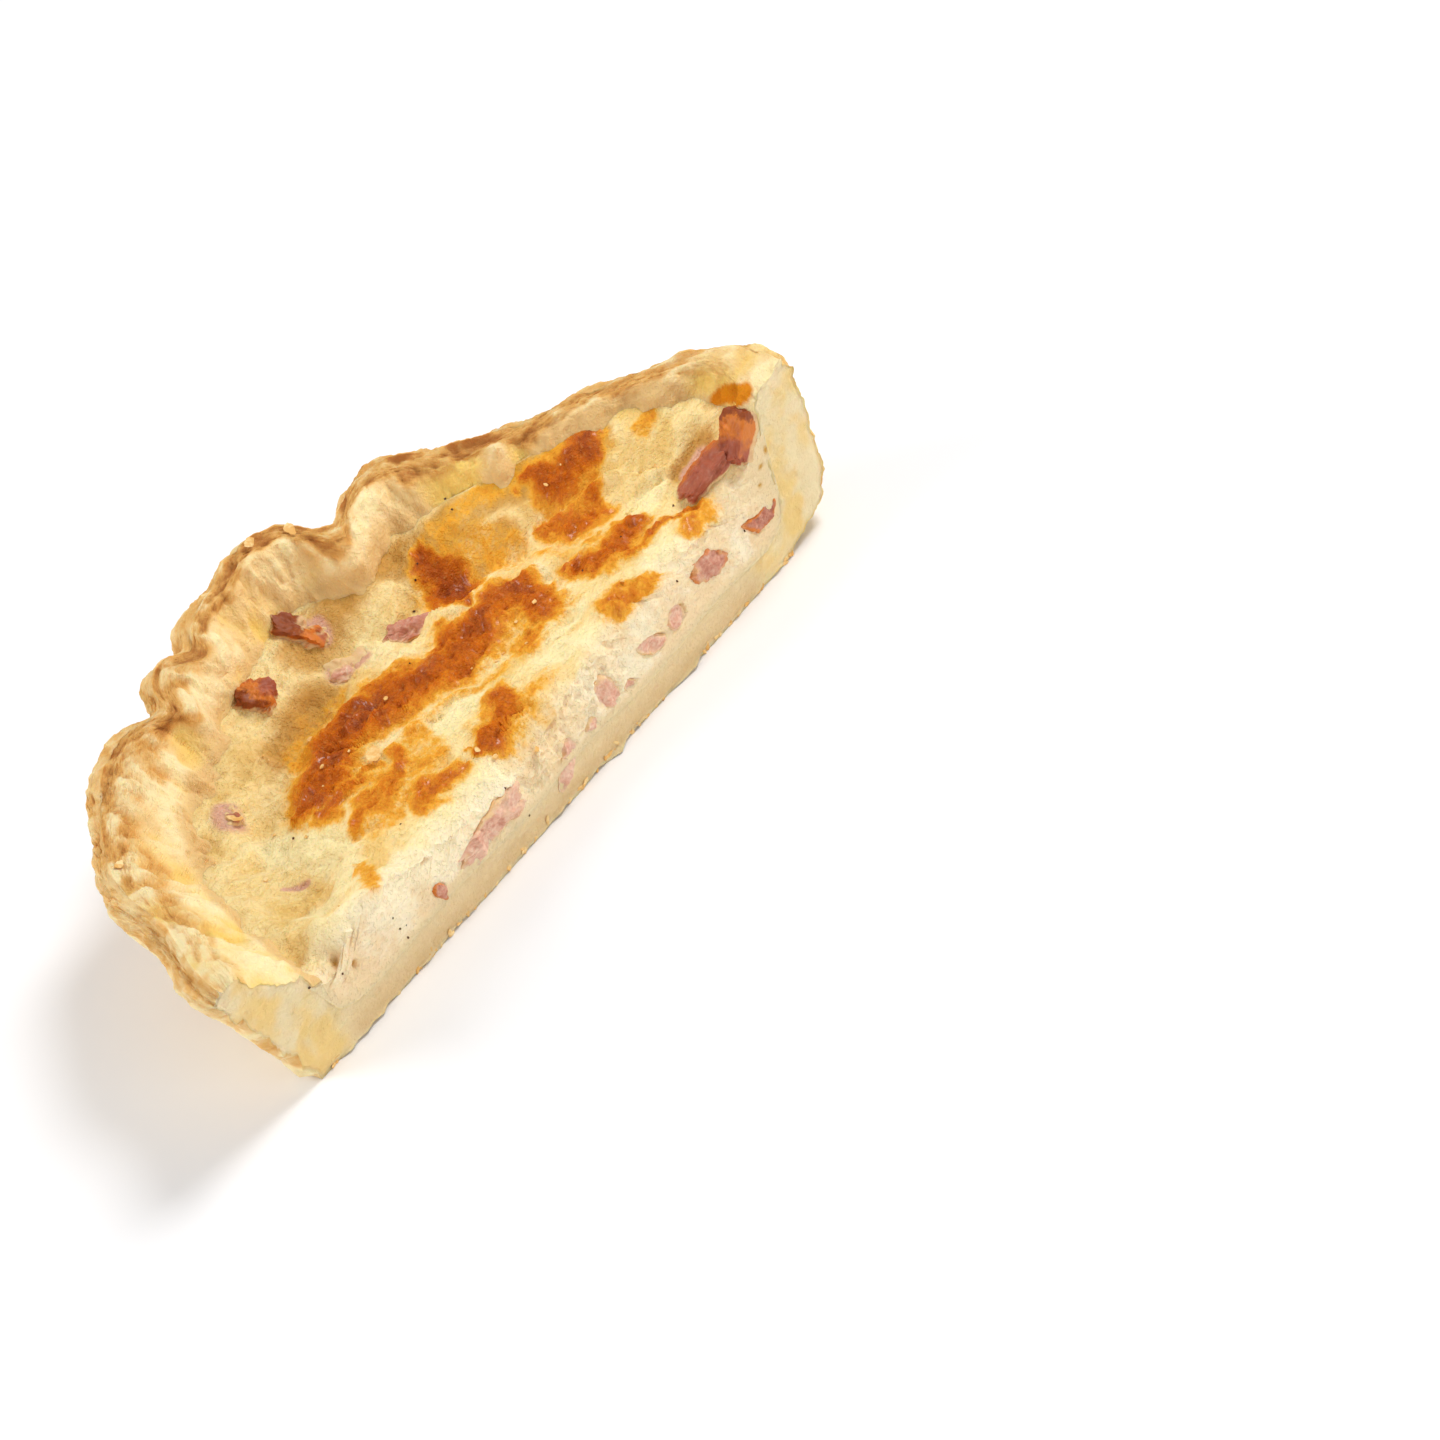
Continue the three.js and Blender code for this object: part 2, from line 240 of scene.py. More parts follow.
# ---- Pastry shell -------------------------------------------------------------------
# A thick shell of flaky pastry, pressed into a tin by hand, so that its rim stands in uneven
# lobes with a browned, layered crest. The knife left a smooth cut through wall and floor.

# Half width along the cut and depth away from it: of the rim, of the foot that stands on the
# table, and of the corner inside where the wall rises from the floor, with its height.
RIM_HALF_WIDTH, RIM_DEPTH = 57.5, 46.6
FOOT_HALF_WIDTH, FOOT_DEPTH = 47.5, 39.0
CORNER_HALF_WIDTH, CORNER_DEPTH, CORNER_HEIGHT = 41.5, 35.5, 7.6
FLOOR_THICKNESS = 4.4
# A skin runs from share 0 in its middle to 1 at the crest, and is flat up to this share. The
# crest's highest line lies that far inside its outer edge.
FLAT_SHARE = 0.4
CREST_TO_TOP = 2.0
# Pinches of the rim: angle from the right end, width in degrees, push out and push up.
PINCHES = np.array([
    (8, 8, 2.2, 0.6), (38, 15, -3.0, -0.8), (60, 6, 2.4, 0.3), (72, 4.2, -3.4, -0.8),
    (84, 9, 3.8, 1.4), (97, 7, 2.0, 0.2), (104, 2.5, -1.0, -0.8), (110, 5, 1.4, 0.3),
    (118, 3.5, -2.0, -0.6), (130, 11, 1.6, 0.8), (166, 11, -3.4, 0.2),
])


def bell(distance, width):
    """exp(-(distance / width) squared)."""
    return np.exp(-((distance / width) ** 2))


def smooth(t):
    """0 below 0, 1 above 1, and 3t^2 - 2t^3 between."""
    t = np.clip(t, 0.0, 1.0)
    return t * t * (3.0 - 2.0 * t)


def ellipse(half_width, depth, angle):
    """Distance to an ellipse in a direction: ab / sqrt((b cos)^2 + (a sin)^2)."""
    return half_width * depth / np.hypot(depth * np.cos(angle), half_width * np.sin(angle))


def spline(values, t):
    """Uniform Catmull-Rom curve through the listed arrays, with t from 0 to their number - 1."""
    stack = np.stack([np.broadcast_to(v, np.shape(t)).astype(float) for v in values])
    last = len(values) - 1
    i = np.clip(np.floor(t).astype(int), 0, last - 1)
    u = t - i

    def pick(k):
        return np.take_along_axis(stack, np.clip(k, 0, last)[None], 0)[0]

    b, c = pick(i), pick(i + 1)
    a = np.where(i > 0, pick(i - 1), 2 * b - c)
    d = np.where(i < last - 1, pick(i + 2), 2 * c - b)
    cubic = (-a + 3 * b - 3 * c + d) * u**3
    return 0.5 * (2 * b + (c - a) * u + (2 * a - 5 * b + 4 * c - d) * u * u + cubic)


def near(angle, degrees, width):
    """Bell round a direction counted from the right end of the cut, both in degrees."""
    return bell(np.degrees(angle) - degrees, width)


def near_right(angle, width):
    """Bell round the right end of the cut, with its width in degrees."""
    return near(angle, 0, width)


def near_left(angle, width):
    """Bell round the left end of the cut, with its width in degrees."""
    return near(angle, 180, width)


def pinch(angle, column):
    """Sum of one column of the pinches, each as a bell round its own angle."""
    turn = np.degrees(angle)[..., None] - PINCHES[:, 0]
    return (PINCHES[:, column] * bell(turn, PINCHES[:, 1])).sum(-1)


def rim_edge(angle):
    """Distance of the rim's outer edge from the middle of the cut."""
    return ellipse(RIM_HALF_WIDTH, RIM_DEPTH, angle) + pinch(angle, 2)


def rim_height(angle):
    """Height of the rim's crest, a little more at the right end than at the left."""
    return 22.7 + np.cos(angle) + 0.9 * near_right(angle, 20) + pinch(angle, 3)


def outer_skin(share, angle):
    """Radius and height of the outer skin: flat to the foot, then a curve through four levels
    of the bulging wall, 1 - (1 - level)^bulge of the way out, and over the crest."""
    foot = ellipse(FOOT_HALF_WIDTH, FOOT_DEPTH, angle)
    edge, top = rim_edge(angle), rim_height(angle)
    bulge = 1.5 - 0.3 * near_left(angle, 30) + 11 * near_right(angle, 14)
    levels = (0.12, 0.35, 0.62)
    walls = [foot + (edge - foot) * (1 - (1 - level) ** bulge) for level in levels]
    t = np.clip((share - FLAT_SHARE) / (1 - FLAT_SHARE), 0, 1) * 5
    radius = spline([foot, *walls, edge, edge - CREST_TO_TOP], t)
    height = spline([0 * top, *(level * top for level in levels), 0.9 * top, top], t)
    flat = share < FLAT_SHARE
    radius = np.where(flat, foot * share / FLAT_SHARE, radius)
    return radius, np.where(flat, 0.0, np.maximum(height, 0.0))


def floor_height(x):
    """Top of the dough under the custard, in slow waves along the cut."""
    return FLOOR_THICKNESS + 0.35 * np.sin(2 * np.pi * x / 27)


def inner_skin(share, angle):
    """Radius and height of the inner skin: the floor, its corner, and the slope up to the
    crest, level^bend of the way out."""
    corner = ellipse(CORNER_HALF_WIDTH + 6.8 * near_right(angle, 25), CORNER_DEPTH, angle)
    corner = corner + 0.5 * pinch(angle, 2) * np.sin(angle)
    floor_edge = corner - 4.5
    edge, top = rim_edge(angle), rim_height(angle)
    crest_in = edge - 4.8 - 0.6 * near_left(angle, 30) - 4.2 * near_right(angle, 9)
    bend = 1.25 + 0.25 * near_left(angle, 30) - 0.5 * near(angle, 90, 24)
    slopes = [corner + (crest_in - corner) * level**bend for level in (0.3, 0.62)]
    rise = top - 1 - CORNER_HEIGHT
    levels = [CORNER_HEIGHT + rise * level for level in (0.3, 0.62)]
    floor = floor_height(floor_edge * np.cos(angle))
    radii = [floor_edge, corner - 1.2, corner, *slopes, crest_in, edge - CREST_TO_TOP]
    heights = [floor, FLOOR_THICKNESS + 1.0, CORNER_HEIGHT, *levels, top - 1, top]
    t = np.clip((share - FLAT_SHARE) / (1 - FLAT_SHARE), 0, 1) * 6
    flat = share < FLAT_SHARE
    radius = np.where(flat, floor_edge * share / FLAT_SHARE, spline(radii, t))
    height = np.where(flat, floor_height(radius * np.cos(angle)), spline(heights, t))
    return radius, height


def half_disc(rows):
    """Grid over a half disc without a pole: a half square of (a, b) points, where the ring is
    the larger of |a| and b, and the angle follows how far along that ring the point lies."""
    a, b = np.meshgrid(np.linspace(-1, 1, 2 * rows + 1), np.linspace(0, 1, rows + 1))
    ring = np.maximum(np.abs(a), b)
    safe = np.maximum(ring, 1e-9)
    back = np.pi / 2 - np.pi / 4 * a / safe
    side = np.pi / 4 * b / safe
    side = np.where(a > 0, side, np.pi - side)
    return ring, np.where(b >= np.abs(a), back, side)


def spread(radius, height, angle):
    """Points of a skin from its radius, height and angle, with the cut's row on the cut."""
    y = radius * np.sin(angle)
    y[0] = 0.0
    return np.stack([radius * np.cos(angle), y, height], -1)


def outward(points):
    """Unit normals of a grid, from the cross product of its two directions."""
    along = np.gradient(points, axis=1)
    across = np.gradient(points, axis=0)
    normal = np.cross(along, across)
    return normal / np.maximum(np.linalg.norm(normal, axis=-1, keepdims=True), 1e-12)


def lattice(points, seed):
    """Smooth random field in -1..1: random values on whole-number points, blended between
    them by 3t^2 - 2t^3 in each direction."""
    cell = np.floor(points).astype(np.int64)
    blend = smooth(points - cell)
    total = np.zeros(points.shape[:-1])
    for corner in np.ndindex(2, 2, 2):
        key = cell + corner
        mixed = key[..., 0] * 73856093 ^ key[..., 1] * 19349663 ^ key[..., 2] * 83492791
        mixed = (mixed ^ seed * 40503) & 0x7FFFFFFF
        mixed = (mixed ^ (mixed >> 15)) * 73244475 & 0x7FFFFFFF
        mixed = (mixed ^ (mixed >> 13)) * 73244475 & 0x7FFFFFFF
        weight = np.prod(np.where(corner, blend, 1.0 - blend), axis=-1)
        total += weight * ((mixed >> 7 & 0xFFFF) / 32767.5 - 1.0)
    return total


def grain(points, size, seed, octaves=3, stretch=(1.0, 1.0, 1.0)):
    """Sum of lattice fields, each at half the size and 0.55 of the height of the last."""
    points = points * np.array(stretch) / size
    levels = range(octaves)
    return sum(0.55**k * lattice(points * 2.0**k + 17.3 * k, seed + k) for k in levels)


def in_plane(first, second=0.0):
    """Points with these two coordinates and a third of zero, for noise along one or two ways."""
    return np.stack([first, second + 0 * first, 0 * first], -1)


def solid_mesh(name, grids, links, attributes, material, sharp=40.0):
    """One closed mesh from grids of points, each with True where its faces point the other
    way. A link (grid, key, other grid, other key) says that a row or column of one grid is a
    row or column of another. A cell is cut into two triangles, and a triangle with two like
    corners drops out. An attribute gives one value, or one value a point, for each grid."""
    sizes = [points[..., 0].size for points, _ in grids]
    starts = np.cumsum([0] + sizes[:-1])
    ids = [s + np.arange(n).reshape(g.shape[:2]) for s, n, (g, _) in zip(starts, sizes, grids)]
    for grid, key, other, other_key in links:
        ids[grid][key] = ids[other][other_key]
    triangles = []
    for k, (_, flip) in zip(ids, grids):
        a, b, c, d = k[:-1, :-1], k[:-1, 1:], k[1:, 1:], k[1:, :-1]
        cells = np.stack([a, b, c, a, c, d], -1).reshape(-1, 3)
        triangles.append(cells[:, ::-1] if flip else cells)
    triangles = np.concatenate(triangles)
    a, b, c = triangles.T
    triangles = triangles[(a != b) & (b != c) & (c != a)]
    used, corners = np.unique(triangles, return_inverse=True)
    points = np.concatenate([g.reshape(-1, 3) for g, _ in grids])[used]
    mesh = bpy.data.meshes.new(name)
    mesh.vertices.add(len(points))
    mesh.vertices.foreach_set("co", ((points + CUT_MIDDLE) * MM).ravel())
    mesh.loops.add(corners.size)
    mesh.loops.foreach_set("vertex_index", corners.ravel().astype(np.int32))
    mesh.polygons.add(len(triangles))
    mesh.polygons.foreach_set("loop_start", np.arange(0, corners.size, 3, dtype=np.int32))
    mesh.update(calc_edges=True)
    mesh.shade_smooth()
    mesh.set_sharp_from_angle(angle=np.radians(sharp))
    for key, parts in attributes.items():
        width = np.asarray(parts[0]).shape[2:]
        kind, slot = ("FLOAT_VECTOR", "vector") if width else ("FLOAT", "value")
        shapes = [g.shape[:2] + width for g, _ in grids]
        full = [np.broadcast_to(p, s).reshape(-1, *width) for p, s in zip(parts, shapes)]
        layer = mesh.attributes.new(key, kind, "POINT")
        layer.data.foreach_set(slot, np.concatenate(full)[used].astype(np.float32).ravel())
    mesh.materials.append(material)
    piece = bpy.data.objects.new(name, mesh)
    bpy.context.collection.objects.link(piece)
    return piece


# The two skins share their outer edge and their cut row with the cut face, grids 0, 1 and 2.
HALF_ROUND_LINKS = (
    (1, np.s_[-1, :], 0, np.s_[-1, :]),
    (1, np.s_[:, 0], 0, np.s_[:, 0]),
    (1, np.s_[:, -1], 0, np.s_[:, -1]),
    (2, np.s_[0, :], 0, np.s_[0, :]),
    (2, np.s_[-1, :], 1, np.s_[0, :]),
    (2, np.s_[:, 0], 0, np.s_[0, 0]),
    (2, np.s_[:, -1], 0, np.s_[0, -1]),
)
# How high the filling came up the wall, every 20 degrees from the right end of the cut.
FILLING_EDGE = (19.5, 21.2, 19.2, 17.0, 15.6, 15.0, 14.6, 14.0, 12.6, 11.4)
FILLING_STEP = 20
HALVINGS = 24


def share_reaching(part, goal, angle):
    """The share of the inner skin at which its radius (part 0) or its height (part 1) comes to
    a goal, by halving the span that holds it again and again."""
    low, high = np.full(angle.shape, FLAT_SHARE), np.ones(angle.shape)
    for _ in range(HALVINGS):
        middle = (low + high) / 2
        past = inner_skin(middle, angle)[part] > goal
        low, high = np.where(past, low, middle), np.where(past, middle, high)
    return (low + high) / 2


def filling_share(angle):
    """The share of the inner skin at which it is as high as the filling's edge."""
    return share_reaching(1, spline(FILLING_EDGE, np.degrees(angle) / FILLING_STEP), angle)


# Rows of the grid of each skin, and steps of the cut from the outer skin to the inner.
CRUST_ROWS = 150
FACE_STEPS = 18
# How the rings of the grid are shared out over the skins: fine at the crest, coarse below.
OUTER_RINGS = (0.0, 0.20, 0.66, 1.0)
OUTER_SHARES = (0.0, 0.4, 0.80, 1.0)
INNER_RINGS = (0.0, 0.10, 0.26, 0.76, 1.0)
INNER_SHARES = (0.0, 0.4, 0.62, 0.90, 1.0)
# Millimetres along the rim for each radian and across it for the whole skin, for the flakes.
RIM_RADIUS = 50.0
SKIN_LENGTH = 40.0
# How much the edge of the cut is rounded.
CUT_ROUND = 0.8

ring, turn = half_disc(CRUST_ROWS)
outer_share = np.interp(ring, OUTER_RINGS, OUTER_SHARES)
inner_share = np.interp(ring, INNER_RINGS, INNER_SHARES)
outer = spread(*outer_skin(outer_share, turn), turn)
inner = spread(*inner_skin(inner_share, turn), turn)
outer_normal, inner_normal = -outward(outer), outward(inner)

# Places along the rim and across it from the crest, in which the flaky layers are drawn.
along = turn * RIM_RADIUS
outer_rim = in_plane(along, (outer_share - 1) * SKIN_LENGTH)
inner_rim = in_plane(along, (1 - inner_share) * SKIN_LENGTH)


def terraced(rim, size, seed, levels=3.0):
    """Flakes that lie over one another: noise drawn out along the rim, cut into flat levels
    with a steep step between each and the next."""
    raised = levels * (0.5 + grain(rim, size, seed, 4, (0.45, 1, 1)))
    level = np.floor(raised)
    return (level + smooth((raised - level - 0.7) / 0.3)) / levels - 0.5


# The outside: lumps of dough, scaly plates with cracks between them, and torn layers over the
# shoulder of the rim.
wall = smooth((outer[..., 2] - 0.2) / 1.2)
shoulder = smooth((outer_share - 0.80) / 0.07)
lumps = grain(outer, 8.0, 3, octaves=2)
plates = smooth(0.5 + 2.4 * grain(outer, 3.2, 5, octaves=4, stretch=(0.7, 0.7, 1.4)))
crackle = (1.0 - np.abs(grain(outer, 2.8, 7, octaves=2, stretch=(0.8, 0.8, 1.4)))) ** 8
torn = terraced(outer_rim, 2.2, 11)
outer_relief = 0.60 * lumps + 0.34 * plates - 0.35 * crackle + 0.10 * grain(outer, 0.9, 9, 2)
outer_relief = outer_relief * (1 - 0.4 * shoulder) + shoulder * 0.55 * torn

# The inside: the crest's torn layers, and below it puffed dough, which keeps fine pleats, tufts,
# leaves and splits where the filling left it dry.
from_crest = (1 - inner_share) * SKIN_LENGTH
above_filling = (inner_share - filling_share(turn)) * SKIN_LENGTH
browner_lobes = smooth((np.degrees(turn) - 112) / 12) * smooth((176 - np.degrees(turn)) / 8)
crest_width = 3.5 + 1.6 * browner_lobes + 1.3 * grain(inner_rim, 5.0, 25, 3)
crest = 1 - smooth((from_crest - crest_width) / 1.8)
slope = smooth((from_crest - 1.6) / 2.4) * smooth((above_filling + 3.0) / 2.0)
dry = smooth((above_filling - 0.3) / 3.2)
pleated = smooth(0.6 + 1.5 * grain(inner_rim, 9.0, 22, 2))
pleats = pleated * grain(inner_rim, 0.9, 21, 2, stretch=(1.0, 0.16, 1))
puffs = grain(inner_rim, 4.6, 23, octaves=4, stretch=(1.0, 0.8, 1))
tufts = grain(inner_rim, 1.5, 24, octaves=3)
leaves = terraced(inner_rim, 3.4, 29)
splits = (1.0 - np.abs(grain(inner_rim, 3.6, 27, octaves=2, stretch=(1.0, 0.3, 1)))) ** 16
inner_torn = terraced(inner_rim, 2.0, 13)
pleat_height = 0.12 + 0.25 * near(turn, 20, 14)
dry_relief = pleat_height * pleats - 0.30 * splits + 0.30 * leaves + 0.15 * tufts
crest_relief = 0.42 * inner_torn + 0.5 * puffs + 0.16 * tufts
inner_relief = slope * (1.1 * puffs + dry * dry_relief)
inner_relief = inner_relief * (1 - 0.5 * crest) + crest * crest_relief

# Both skins end in one ragged line along the rim, and the edge of the cut is rounded.
ragged = 0.50 * grain(in_plane(along), 3.2, 31, octaves=5)
to_edge = smooth((ring - 0.93) / 0.07)
outer_rounding = (CUT_ROUND + 0.5 * grain(outer, 1.6, 35, 3)) * bell(outer[..., 1], 1.0)
inner_rounding = (CUT_ROUND + 0.5 * grain(inner, 1.6, 35, 3)) * bell(inner[..., 1], 1.0)
outer_relief = wall * (outer_relief - outer_rounding) * (1 - to_edge) + ragged * to_edge
inner_relief = inner_relief - inner_rounding * smooth(above_filling + 1.0)
inner_relief = inner_relief * (1 - to_edge) + ragged * to_edge
outer = outer + outer_relief[..., None] * outer_normal
inner = inner + inner_relief[..., None] * inner_normal
rim_line = (outer + inner)[ring == 1.0] / 2
for skin in (outer, inner):
    skin[ring == 1.0] = rim_line
    skin[..., 1] = np.maximum(skin[..., 1], 0.0)
    skin[0, :, 1] = 0.0
outer[..., 2] = np.maximum(outer[..., 2], 0.0)

# The cut through wall and floor. Its lower edge tore where the knife met the board, and
# where the filling lies against it the cut falls back a little. How far from the middle the
# wall starts, the floor ends and the torn edge ends:
WALL_START, FLOOR_END, TORN_END = 38, 42, 47
from_ends = smooth((RIM_HALF_WIDTH - np.abs(outer[..., 0])) / 12)
notches = np.maximum(grain(outer, 1.6, 37, 3, (1, 0, 0)), 0) * from_ends
outer[..., 2] += 0.6 * notches * bell(outer[..., 1], 0.5) * (1 - wall)
lift = np.linspace(0, 1, FACE_STEPS + 1)[:, None]
face = outer[0] * (1 - lift[..., None]) + inner[0] * lift[..., None]
from_middle = np.abs(face[..., 0])
under_filling = smooth((-above_filling[0] - 0.5) / 1.0)
near_inner = smooth(1.8 - (inner[0, :, 2] - face[..., 2]) / 1.2) * (from_middle < FLOOR_END)
near_inner = near_inner * under_filling
smear = grain(face, 4.0, 41, 3, (0.4, 1, 1.6)) * (1 - near_inner)
wall_crumb = 0.16 * grain(face, 1.4, 43, 3) * smooth((from_middle - WALL_START) / 5)
edges = smooth(6 * np.minimum(lift, 1 - lift))
face[..., 1] = 0.05 + edges * (0.25 * smear + wall_crumb)
inner[0, :, 1] = 0.30 * under_filling
torn_edge = 0.7 * grain(face, 3.0, 45, 2, (1, 1, 0.4)) + grain(face, 0.9, 46, 3, (1, 1, 0.6))
torn_edge = np.maximum(torn_edge, 0) * bell(face[..., 2], 0.7) * (from_middle < TORN_END)
face[..., 1] -= 0.9 * torn_edge

PASTRY_PALE = linear(253, 231, 178)
PASTRY_TAN = linear(240, 204, 142)
PASTRY_GOLD = linear(230, 176, 98)
PASTRY_BROWN = linear(194, 128, 64)
PASTRY_YOLK = linear(244, 206, 112)
FILM_CREAM = linear(230, 192, 130)
BLISTER = linear(220, 134, 10)
DOUGH = linear(250, 227, 180)
DOUGH_DEEP = linear(222, 186, 132)
DOUGH_YOLK = linear(248, 212, 140)

pastry_look = {
    "Subsurface Weight": 0.35, "Subsurface Radius": (1.0, 0.6, 0.3), "Subsurface Scale": 0.001,
    "Specular IOR Level": 0.15,
}
pastry, pastry_shader, place = new_material("baked_pastry", pastry_look)
brown, pale_and_lit, yolk, film, cut, crest_paint, blister_paint = (
    place.attribute(name) for name in ("brown", "pale_and_lit", "yolk", "film", "cut", "crest", "blister")
)
# The lines of the flakes run along the rim, bent by noise.
rim = place.attribute("rim", out=1)
bent = rim.node("TexNoise", None, {"Vector": rim, "Scale": 1 / (3 * MM), "Detail": 3.0}, out=1)
bend = {0: bent, 1: (MM, MM, MM), 2: rim}
rim = bent.node("VectorMath", {"operation": "MULTIPLY_ADD"}, bend)
lines = rim.noise(0.34, 5.0, 0.72, (0.2, 1.0, 1.0))
folds = rim.noise(0.6, 4.0, 0.65, (1.0, 0.3, 1.0))
blotch = place.noise(3.2, 4.0, 0.6)
speckle = place.noise(0.9, 3.0, 0.6)
fleck = place.noise(0.35, 2.0, 0.5)
lined = crest_paint.node("Mix", None, {0: crest_paint, 2: folds, 3: lines})
mottled = blotch.swing(0.6) + speckle.swing(0.5) + fleck.swing(0.4)
# Paleness: the dough's own tone, with painted light on raised puffs and painted shade on the back slope.
paleness = (pale_and_lit + mottled * 1.1 + lined.swing(0.35)).between(-0.05, 0.85)
skin_colour = paleness.mix(PASTRY_TAN, PASTRY_PALE)
skin_colour = (yolk + blotch.swing(0.8)).between(0.1, 0.9).mix(skin_colour, PASTRY_YOLK)
baked = brown + mottled * 0.6 + (lined - 0.5) * (0.12 + crest_paint * 0.45)
skin_colour = baked.between(0.08, 0.70).mix(skin_colour, PASTRY_GOLD)
skin_colour = baked.between(0.52, 1.15).mix(skin_colour, PASTRY_BROWN)
skin_colour = (film + speckle.swing(0.4)).between(0.1, 0.9).mix(skin_colour, FILM_CREAM)
skin_colour = blister_paint.mix(skin_colour, BLISTER)
deep = cut - 1.0 + blotch.swing(0.3) + speckle.swing(0.2) + fleck.swing(0.2)
dough = deep.between(-0.1, 0.7).mix(DOUGH, DOUGH_DEEP)
dough = (yolk + blotch.swing(0.5)).between(0.1, 0.8).mix(dough, DOUGH_YOLK)
height = lined * (0.45 + crest_paint * 0.45) + speckle * 0.7 + fleck * 0.6
colour = cut.between(0.3, 0.7).mix(skin_colour, dough)
finish_material(place, pastry_shader, colour, 0.62 - brown * 0.12, height, strength=0.9, distance=0.4)

# How brown, pale, yolky and filmed over with filling each skin is, with painted light on the inner skin's
# raised puffs and painted shade on the back of its slope.
lobes = 0.5 + 0.5 * grain(in_plane(along), 12.0, 51, octaves=3)
not_right = 1 - 0.9 * near_right(turn, 13)
outer_brown = shoulder * (0.34 + 0.25 * lobes - 0.3 * torn) * not_right * (1 - 0.4 * near_left(turn, 26))
scales = grain(outer, 1.3, 53, 4, stretch=(0.6, 0.6, 1.3))
toasted = 1 - 0.7 * near_left(turn, 30)
wall_brown = 0.30 + 0.16 * toasted - 0.30 * plates + 0.30 * crackle + 0.30 * scales
outer_brown = np.maximum(outer_brown, wall * wall_brown)
calm = 1 - 0.5 * near_left(turn, 26)
inner_brown = 0.42 + 0.26 * lobes - 0.34 * inner_torn - 0.26 * puffs - 0.3 * tufts
top_left = near(turn, 78, 12)
inner_brown = crest * (inner_brown + 0.18 * top_left) * not_right * calm + 0.15 * slope * splits * dry
# A blister of egg that browned on the wall near the right end of the cut, longer than it is wide.
BLISTER_PLACE = np.array([50.6, 4.3, 22.6])
BLISTER_ALONG, BLISTER_ACROSS = np.array([(0.81, -0.54, -0.20), (0.03, 0.40, 0.80)])
BLISTER_LENGTH = 1.7
from_blister = inner - BLISTER_PLACE
blister = np.hypot(from_blister @ BLISTER_ALONG / BLISTER_LENGTH, from_blister @ BLISTER_ACROSS)
blister = 1 - smooth((blister + 0.2 * tufts - 0.75) / 0.35)
outer_pale = 0.32 - 0.20 * toasted + 0.34 * plates - 0.5 * scales
outer_pale = wall * outer_pale * (1 - 0.2 * shoulder) + 0.2 * near_right(turn, 14)
# Painted shade: the back of the inner slope, which lies in shade, is painted tan on top of its own baked
# tan.
tanned_and_shaded = near(turn, 98, 26) + 0.9 * near(turn, 52, 18)
# Puffs, pleats, leaves and tufts stand out paler: partly the dough's own tone, partly painted light on the
# raised relief.
inner_pale_and_lit = 0.62 + 0.7 * puffs + 0.3 * pleats * dry + 0.3 * leaves * dry + 0.3 * tufts
inner_pale_and_lit = inner_pale_and_lit - 0.12 * crest - 0.5 * tanned_and_shaded + 0.2 * near_left(turn, 40)
near_filling = bell(np.maximum(above_filling, 0) - 0.8, 2.6)
inner_yolk = 0.35 * near_filling - 0.5 * puffs + 0.35 * near_left(turn, 30) + 0.15 * near_right(turn, 16)
inner_film = (1 - blister) * (1 - smooth((above_filling + 0.6 - 1.6 * puffs) / 3.0))
# On the cut, 1 is pale dough and 2 is dough that baked darker, near the base.
near_edge = bell(face[..., 2], 0.45)
floor_band = smooth((FLOOR_END + 2 - from_middle) / 5)
face_cut = 1.0 + floor_band * (0.25 + 0.20 * smooth((3.6 - face[..., 2]) / 3.0)) - 0.25 * near_edge
face_yolk = (1 - floor_band) * (0.34 + 0.7 * grain(face, 4.2, 47, 3))
face_yolk += 0.7 * bell(face[..., 2], 0.8) * grain(face, 0.9, 46, 3)
face_rim = face[..., (0, 2, 1)]
crust = solid_mesh(
    "crust_baked",
    [(outer, True), (inner, False), (face, False)],
    HALF_ROUND_LINKS,
    {
        "brown": (outer_brown, inner_brown, 0.0),
        "pale_and_lit": (outer_pale, inner_pale_and_lit, 0.0),
        "yolk": (0.1 * wall + 0.4 * near_right(turn, 14), inner_yolk, face_yolk),
        "blister": (0.0, blister, 0.0),
        "film": (0.0, inner_film, 0.0),
        "cut": (0.0, 0.0, face_cut),
        "crest": (shoulder, crest, 1.0),
        "rim": (outer_rim * MM, inner_rim * MM, face_rim * MM),
    },
    pastry,
)
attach(crust, "root")
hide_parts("crust")

# ---- Egg custard --------------------------------------------------------------------
# Egg and cream baked in the shell. Its top sank along the wall, rose in folds and domes in
# the middle and browned where it stood highest; in the cut it is pale, soft and curdy.

CUSTARD_ROWS = 140
CUSTARD_FACE_STEPS = 44
# Height at the middle of the cut, and rise for each millimetre to the right.
CUSTARD_MIDDLE, CUSTARD_SLOPE = 12.8, 0.05
# The hollow along the wall: its depth, and its place and width as shares of the way out.
HOLLOW_DEPTH, HOLLOW_PLACE, HOLLOW_WIDTH = 2.2, 0.8, 0.09
# Broad rises and dips: place, half-widths and height.
SWELLS = ((-4, -2, 7, 5, -3.5), (-20, 6, 10, 5, -0.5), (24, 2, 16, 8, 1.0))
# The lip that the filling makes at the left end of the cut.
LIP_START, LIP_RISE, LIP_HEIGHT, LIP_LENGTH, LIP_DEPTH = -41.0, 5.8, 5.4, 9.0, 7.0
# How far the custard runs into the dough, so that no gap shows between them.
BITE = 0.9
